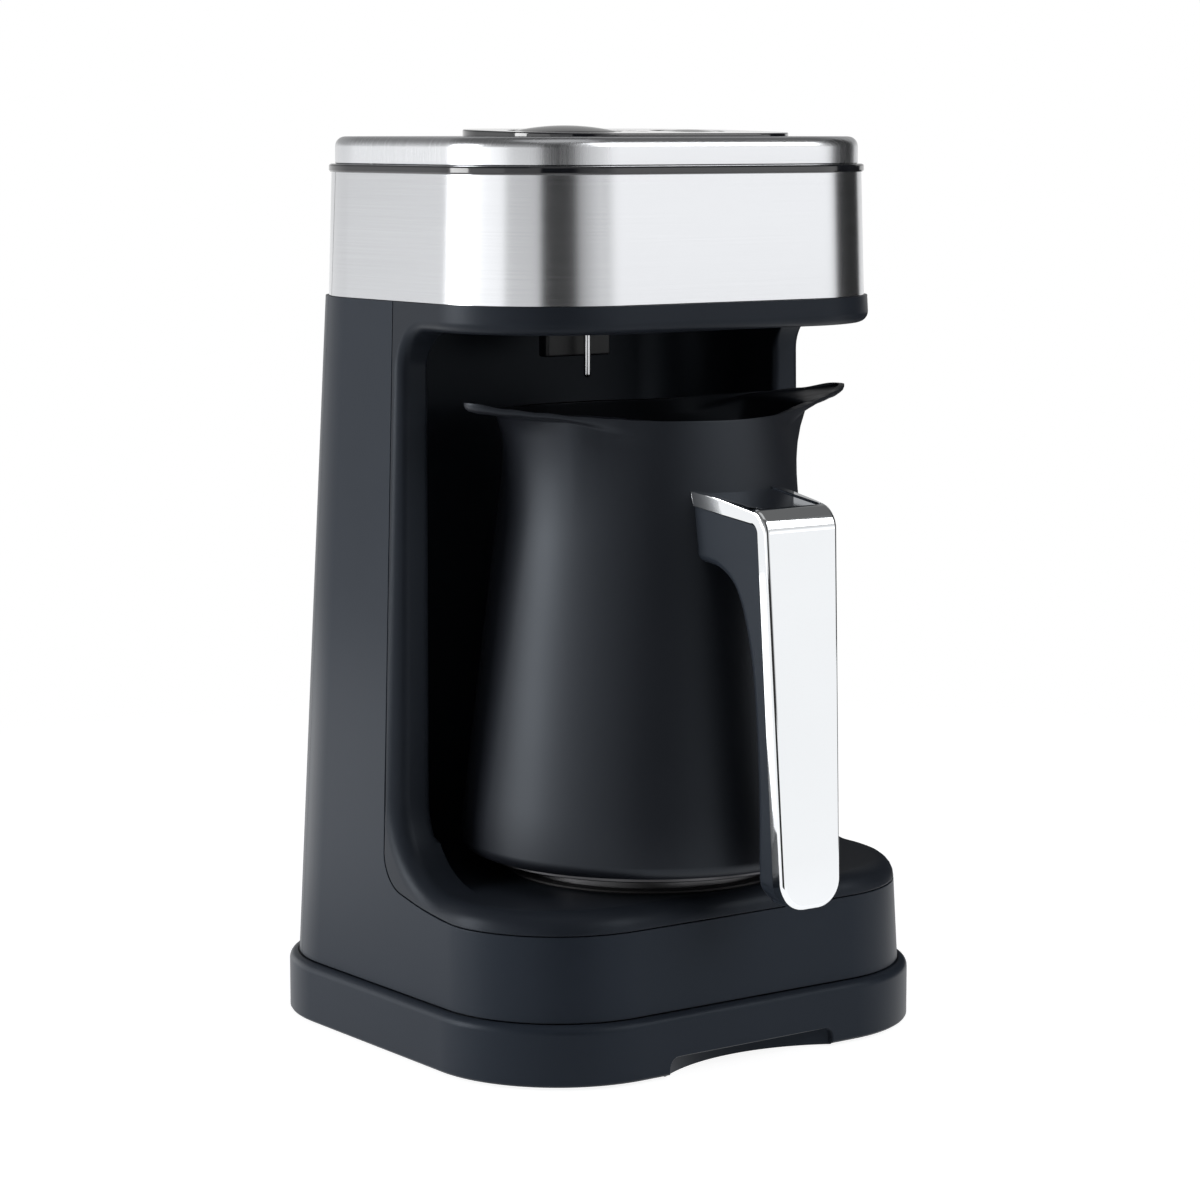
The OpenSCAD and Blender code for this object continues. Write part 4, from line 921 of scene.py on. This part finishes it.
def brushed_lines(tree, given, place):
    # Upright 1 lays the lines round the piece, 0 lays them from side to side
    flat = maths(tree, "SUBTRACT", 1.0, given["Upright"])
    z_scale = maths(tree, "MULTIPLY", given["Across"], given["Upright"])
    y_scale = maths(tree, "MULTIPLY_ADD", given["Across"], flat, given["Along"])
    scale = node(tree, "CombineXYZ", X=given["Along"], Y=y_scale, Z=z_scale)
    laid = node(tree, "VectorMath", {"operation": "MULTIPLY"}, i0=place, i1=scale.outputs[0])
    lines = node(tree, "TexNoise", Vector=laid.outputs[0], Scale=1.0, Detail=3.0, Roughness=0.7)
    return lines.outputs["Fac"], lines.outputs["Fac"], 0.00004


GROUPS = {
    "moulded": surface_group("moulded grain", {"Grain": 1400, "Depth": 0.12, "Patches": 24, "Roughness": 0.4,
                                               "Spread": 0.08}, moulded_grain),
    "brushed": surface_group("brushed lines", {"Along": 12, "Across": 5200, "Upright": 1.0, "Depth": 0.1,
                                               "Roughness": 0.24, "Spread": 0.14}, brushed_lines),
}
print("groups:", [tree.name for tree in GROUPS.values()])

# %% [markdown]
# ## Materials
# Every finish is the same small recipe: a group gives the pattern, a Mix node swings the colour
# between two close tones, and the shader's own sockets hold what is the same all over, such as
# metallic, coat and specular level. A table of finishes then reads like a parts list. The satin
# plastics and the pot share a cool tint in their shine, and the pot's is rougher, so its highlight
# is broad. The pad is bare polished metal: it shows the room and hardly any colour of its own.

# %% One recipe for every finish
def finish(name, dark, light, kind="moulded", metallic=0.0, coat=0.0, specular=0.5, tint=(1, 1, 1),
           **numbers):
    material = bpy.data.materials.new(name)
    material.use_nodes = True
    tree = material.node_tree
    shader = tree.nodes["Principled BSDF"].inputs
    surface = tree.nodes.new("ShaderNodeGroup")
    surface.node_tree = GROUPS[kind]
    for key, value in numbers.items():
        surface.inputs[key].default_value = value
    colour = node(tree, "Mix", {"data_type": "RGBA"}, i6=(*dark, 1), i7=(*light, 1))
    tree.links.new(surface.outputs["Tone"], colour.inputs[0])
    tree.links.new(colour.outputs[2], shader["Base Color"])
    for label in ("Roughness", "Normal"):
        tree.links.new(surface.outputs[label], shader[label])
    for label, value in (("Metallic", metallic), ("Coat Weight", coat), ("Coat Roughness", 0.04),
                         ("Specular IOR Level", specular), ("Specular Tint", (*tint, 1))):
        shader[label].default_value = value
    return material


COOL = (0.80, 0.89, 1.0)
SATIN = {"specular": 0.14, "tint": COOL, "Roughness": 0.34, "Grain": 1500, "Depth": 0.10}
GLOSS = {"Spread": 0.05, "Grain": 300, "Depth": 0.02}
POLISH = {"metallic": 1.0, "Spread": 0.03, "Grain": 120, "Depth": 0.01}
FINISHES = {
    "body_plastic": finish("satin charcoal plastic", (0.017, 0.022, 0.031), (0.023, 0.029, 0.040), **SATIN),
    "liner_plastic": finish("satin charcoal liner", (0.015, 0.018, 0.024), (0.020, 0.024, 0.032), **SATIN),
    "inner_plastic": finish("plain black plastic", (0.012, 0.013, 0.015), (0.020, 0.021, 0.024),
                            Roughness=0.5, Grain=1200, Depth=0.2),
    "holder_plastic": finish("dark holder plastic", (0.010, 0.012, 0.016), (0.016, 0.019, 0.024),
                             Roughness=0.42, Grain=1500),
    "grip_plastic": finish("satin grip plastic", (0.020, 0.025, 0.034), (0.027, 0.033, 0.043),
                           specular=0.16, tint=COOL, Roughness=0.38, Grain=1800, Depth=0.14),
    "pot_coating": finish("dark pot coating", (0.005, 0.006, 0.009), (0.009, 0.010, 0.014), specular=0.38,
                          tint=COOL, Roughness=0.41, Grain=2600, Patches=16),
    "rubber": finish("matt rubber", (0.010, 0.010, 0.011), (0.018, 0.018, 0.019), specular=0.3,
                     Roughness=0.75, Grain=2200, Depth=0.35),
    "silicone": finish("black silicone", (0.010, 0.010, 0.011), (0.017, 0.017, 0.019), Roughness=0.6),
    "trim_gloss": finish("black gloss ring", (0.008, 0.009, 0.012), (0.011, 0.012, 0.016), coat=0.25,
                         Roughness=0.08, **GLOSS),
    "panel_gloss": finish("black gloss panel", (0.008, 0.009, 0.012), (0.012, 0.013, 0.017), coat=0.6,
                          Roughness=0.06, **GLOSS),
    "button_gloss": finish("black gloss button", (0.012, 0.013, 0.016), (0.017, 0.018, 0.022), coat=0.5,
                           Roughness=0.10, **{**GLOSS, "Spread": 0.06}),
    "lens": finish("frosted lens", (0.60, 0.57, 0.47), (0.78, 0.75, 0.64), Roughness=0.3, Grain=2600,
                   Depth=0.2),
    "band_steel": finish("brushed steel band", (0.56, 0.57, 0.59), (0.68, 0.69, 0.71), "brushed", 1.0,
                         Roughness=0.14, Spread=0.12, Depth=0.08),
    "cover_steel": finish("satin steel cover", (0.62, 0.63, 0.65), (0.72, 0.73, 0.75), "brushed", 1.0,
                          Roughness=0.20, Spread=0.12, Depth=0.06, Upright=0.0),
    "probe_steel": finish("polished probe", (0.62, 0.63, 0.65), (0.74, 0.75, 0.77), "brushed", 1.0,
                          Roughness=0.12, Spread=0.10),
    "screw_steel": finish("screw steel", (0.40, 0.41, 0.43), (0.56, 0.57, 0.59), "brushed", 1.0,
                          Roughness=0.3),
    "shield_steel": finish("pressed shield", (0.38, 0.39, 0.40), (0.52, 0.53, 0.54), "brushed", 1.0,
                           Upright=0.0, Roughness=0.3),
    # painted shade: the foot disc's colour is made dark for the shade under the pot
    "disc_metal": finish("foot disc painted dark for shade", (0.07, 0.07, 0.075), (0.11, 0.11, 0.115), "brushed", 1.0,
                         Roughness=0.25),
    "plate_cast": finish("cast hot plate", (0.10, 0.10, 0.105), (0.16, 0.16, 0.165), metallic=1.0,
                         Roughness=0.38, Grain=2400, Depth=0.3),
    "heater_tube": finish("heater tube", (0.16, 0.14, 0.125), (0.28, 0.25, 0.225), metallic=1.0,
                          Roughness=0.4, Patches=90),
    "handle_chrome": finish("bright chrome", (0.86, 0.88, 0.90), (0.90, 0.92, 0.94), Roughness=0.03,
                            **POLISH),
    "pad_gloss": finish("polished pad", (0.60, 0.64, 0.70), (0.66, 0.70, 0.76), Roughness=0.04, **POLISH),
    "board": finish("green circuit board", (0.012, 0.075, 0.030), (0.025, 0.120, 0.050), Roughness=0.35,
                    Patches=160, Grain=500, Depth=0.15),
    "device_dark": finish("moulded device", (0.014, 0.014, 0.016), (0.024, 0.024, 0.026), Roughness=0.45),
    "relay_blue": finish("blue relay case", (0.022, 0.075, 0.26), (0.035, 0.100, 0.33), Roughness=0.35),
    "transformer_core": finish("varnished laminations", (0.045, 0.030, 0.020), (0.095, 0.070, 0.050),
                               "brushed", Across=2600, Roughness=0.4, Depth=0.3),
    "terminal_white": finish("white terminal block", (0.62, 0.60, 0.54), (0.74, 0.72, 0.66), Roughness=0.45),
    "wire_red": finish("red wire cover", (0.24, 0.018, 0.016), (0.34, 0.030, 0.026), Roughness=0.4),
    "wire_grey": finish("grey wire cover", (0.22, 0.23, 0.25), (0.30, 0.31, 0.33), Roughness=0.45),
    "ceramic": finish("ceramic", (0.58, 0.54, 0.46), (0.70, 0.66, 0.58), Roughness=0.55, Grain=1800,
                      Depth=0.3),
}
print(len(FINISHES), "finishes")

# %% Lay each finish on its pieces
for piece, _, _, slot in DRESSED:
    piece.data.materials.clear()
    piece.data.materials.append(FINISHES[slot])
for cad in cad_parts.values():
    for place in cad.material_slots:
        place.material = FINISHES[place.material.name]
print("finishes laid on", len(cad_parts), "nodes and", len(DRESSED), "pieces")

# %% [markdown]
# ## Studio
# The camera looks from the front left, at about the height of the lid. The machine stands on a pale
# floor that fades into a white surround. Steel, chrome and gloss show only what is round them, so
# the world that reflections see isn't even: it has a brighter patch towards the front right, like
# a window, and grows darker overhead.

# %% Camera
camera_data = bpy.data.cameras.new("camera")
camera_data.lens, camera_data.sensor_width = 105.3, 36.0
camera_data.clip_end = 50
camera = bpy.data.objects.new("camera", camera_data)
bpy.context.scene.collection.objects.link(camera)
camera.location = Vector((-621.2, -841.3, 269.7)) * MM
look = Vector((0.3, 12.0, 127.5)) * MM - camera.location
camera.rotation_euler = look.to_track_quat("-Z", "Y").to_euler()
bpy.context.scene.camera = camera
print("camera stands", round(camera.location.length, 2), "m from the frame's zero point")


# %% World
def seen(tree):
    """1 for a ray from the camera, off a shiny surface or through glass."""
    path = node(tree, "LightPath").outputs
    either = maths(tree, "MAXIMUM", path["Is Camera Ray"], path["Is Glossy Ray"])
    return maths(tree, "MAXIMUM", either, path["Is Transmission Ray"])


def ramp_stops(ramp, stops):
    """Gives a colour ramp its stops of (place, grey strength)."""
    elements = ramp.color_ramp.elements
    for i, (place, strength) in enumerate(stops):
        stop = elements[i] if i < 2 else elements.new(place)
        stop.position, stop.color = place, (strength, strength, strength, 1)


WINDOW = (0.669, -0.743, 0.0)       # the direction of the bright patch
# the room's strength at each height of a direction, from level up to straight overhead
OVERHEAD = ((0.02, 1.0), (0.18, 0.50), (0.45, 0.40), (0.70, 0.15), (1.0, 0.15))
world = bpy.data.worlds.new("studio")
bpy.context.scene.world = world
world.use_nodes = True
tree = world.node_tree
soft = tree.nodes["Background"]
soft.inputs["Color"].default_value = (0.93, 0.96, 1.0, 1)
soft.inputs["Strength"].default_value = 0.16
towards = node(tree, "TexCoord").outputs["Generated"]
near_window = node(tree, "VectorMath", {"operation": "DOT_PRODUCT"}, i0=towards, i1=WINDOW)
window_glow = node(tree, "MapRange", {"interpolation_type": "SMOOTHSTEP"}, Value=near_window.outputs["Value"],
                   From_Min=0.92, From_Max=0.985, To_Min=0.90, To_Max=1.62)
upward = node(tree, "ValToRGB", Fac=node(tree, "SeparateXYZ", Vector=towards).outputs["Z"])
ramp_stops(upward, OVERHEAD)
room = maths(tree, "MULTIPLY", window_glow.outputs[0], upward.outputs["Color"])
only_shine = node(tree, "Mix", i0=node(tree, "LightPath").outputs["Is Glossy Ray"], i2=1.0, i3=room)
white = node(tree, "Background", Color=(1, 1, 1, 1), Strength=only_shine.outputs[0])
blend = node(tree, "MixShader", i0=seen(tree), i1=soft.outputs[0], i2=white.outputs[0])
tree.links.new(blend.outputs[0], tree.nodes["World Output"].inputs["Surface"])
print("world:", len(tree.nodes), "nodes")

# %% Floor
floor_mesh = bmesh.new()
bmesh.ops.create_circle(floor_mesh, cap_ends=True, segments=96, radius=12000)
bmesh.ops.translate(floor_mesh, vec=(0, 0, -0.02), verts=floor_mesh.verts)
floor = make_piece(floor_mesh, "floor")
pale = bpy.data.materials.new("pale floor")
pale.use_nodes = True
tree = pale.node_tree
matt = tree.nodes["Principled BSDF"]
matt.inputs["Base Color"].default_value = (0.80, 0.80, 0.80, 1)
matt.inputs["Roughness"].default_value = 0.9
matt.inputs["Specular IOR Level"].default_value = 0.1
thin = node(tree, "BsdfDiffuse", Color=(0.36, 0.36, 0.37, 1))
glow = node(tree, "Emission", Color=(1, 1, 1, 1), Strength=0.90)
near = node(tree, "AddShader", i0=thin.outputs[0], i1=glow.outputs[0])
away = node(tree, "VectorMath", {"operation": "LENGTH"}, i0=node(tree, "TexCoord").outputs["Object"])
fade = node(tree, "MapRange", Value=away.outputs["Value"], From_Min=0.22, From_Max=0.6)
clear = node(tree, "Emission", Color=(1, 1, 1, 1), Strength=1.0)
lit = node(tree, "MixShader", i0=fade.outputs[0], i1=near.outputs[0], i2=clear.outputs[0])
shown = node(tree, "MixShader", i0=seen(tree), i1=matt.outputs[0], i2=lit.outputs[0])
tree.links.new(shown.outputs[0], tree.nodes["Material Output"].inputs["Surface"])
floor.data.materials.append(pale)

# %% [markdown]
# ### Lamps and cards
# Three soft boxes give the light: one low at the left and a little behind, for the edge of the
# body and the long highlight on the pot, one high at the front right, and a weak one overhead.
# Around them stand cards that only reflections can see. The dark ones draw the dark stripe down the
# band's corner and the fine dark line along the chrome; the bright ones lift the edges at the left.
# The near cards are low, so only the lower surfaces show them.

# %% Lamps and cards
def lamp(name, azimuth, distance, height, width, tall, power):
    """A soft box that faces the machine; azimuth 0 is straight in front, 90 at its right."""
    data = bpy.data.lights.new(name, "AREA")
    data.shape, data.size, data.size_y = "RECTANGLE", width, tall
    data.energy = power
    box = bpy.data.objects.new(name, data)
    bpy.context.scene.collection.objects.link(box)
    a = math.radians(azimuth)
    box.location = (distance * math.sin(a), -distance * math.cos(a), height)
    aim = Vector((0, 0, 0.13)) - box.location
    box.rotation_euler = aim.to_track_quat("-Z", "Y").to_euler()


lamp("left soft box", -118, 1.6, 0.4, 0.6, 1.1, 20)
lamp("right soft box", 28, 1.5, 1.1, 1.2, 0.9, 11)
lamp("top soft box", -10, 0.35, 1.7, 1.2, 1.0, 1.5)


def card(name, azimuth, half_angle, tall, low, strengths, distance=1.25):
    """An upright card that only reflections see; strengths is one number, or stops from left to right."""
    a = math.radians(azimuth)
    half = distance * math.tan(math.radians(half_angle))
    middle = Vector((distance * math.sin(a), -distance * math.cos(a), low + tall / 2)) / MM
    sheet = bmesh.new()
    bmesh.ops.create_grid(sheet, x_segments=1, y_segments=1, size=1000)
    bmesh.ops.scale(sheet, vec=(half, tall / 2, 1), verts=sheet.verts)
    bmesh.ops.rotate(sheet, cent=(0, 0, 0), matrix=Matrix.Rotation(a, 3, "Z") @ turn_x(90), verts=sheet.verts)
    bmesh.ops.translate(sheet, vec=middle, verts=sheet.verts)
    piece = make_piece(sheet, name)
    paint = bpy.data.materials.new(name)
    paint.use_nodes = True
    tree = paint.node_tree
    place = node(tree, "TexCoord").outputs["Object"]
    sideways = (math.cos(a), math.sin(a), 0)
    across = node(tree, "VectorMath", {"operation": "DOT_PRODUCT"}, i0=place, i1=sideways)
    share = node(tree, "MapRange", Value=across.outputs["Value"], From_Min=-half, From_Max=half)
    ramp = node(tree, "ValToRGB", Fac=share.outputs[0])
    ramp_stops(ramp, strengths if isinstance(strengths, tuple) else ((0.0, strengths), (1.0, strengths)))
    glow = node(tree, "Emission", Color=ramp.outputs["Color"], Strength=1.0)
    tree.links.new(glow.outputs[0], tree.nodes["Material Output"].inputs["Surface"])
    piece.data.materials.append(paint)
    piece.visible_camera = piece.visible_diffuse = piece.visible_shadow = piece.visible_transmission = False


DARK = 0.03
card("dark card", -14, 27, 1.3, -0.05, ((0.0, DARK), (0.52, 0.05), (0.60, 0.5), (1.0, 1.0)))
card("near dark card", -30, 15, 0.13, 0.0, DARK, 0.28)
card("right dark card", 84, 22, 1.3, -0.05, DARK)
card("left low card", -140, 30, 0.09, 0.0, 2.0, 0.25)
card("near right card", 105, 35, 0.2, 0.0, DARK, 0.35)
card("left bright card", -88, 16, 0.5, -0.05, 1.5)

# %% [markdown]
# ## Last look
# The Standard view shows colours as they are written.

# %% View settings
bpy.context.scene.view_settings.view_transform = "Standard"
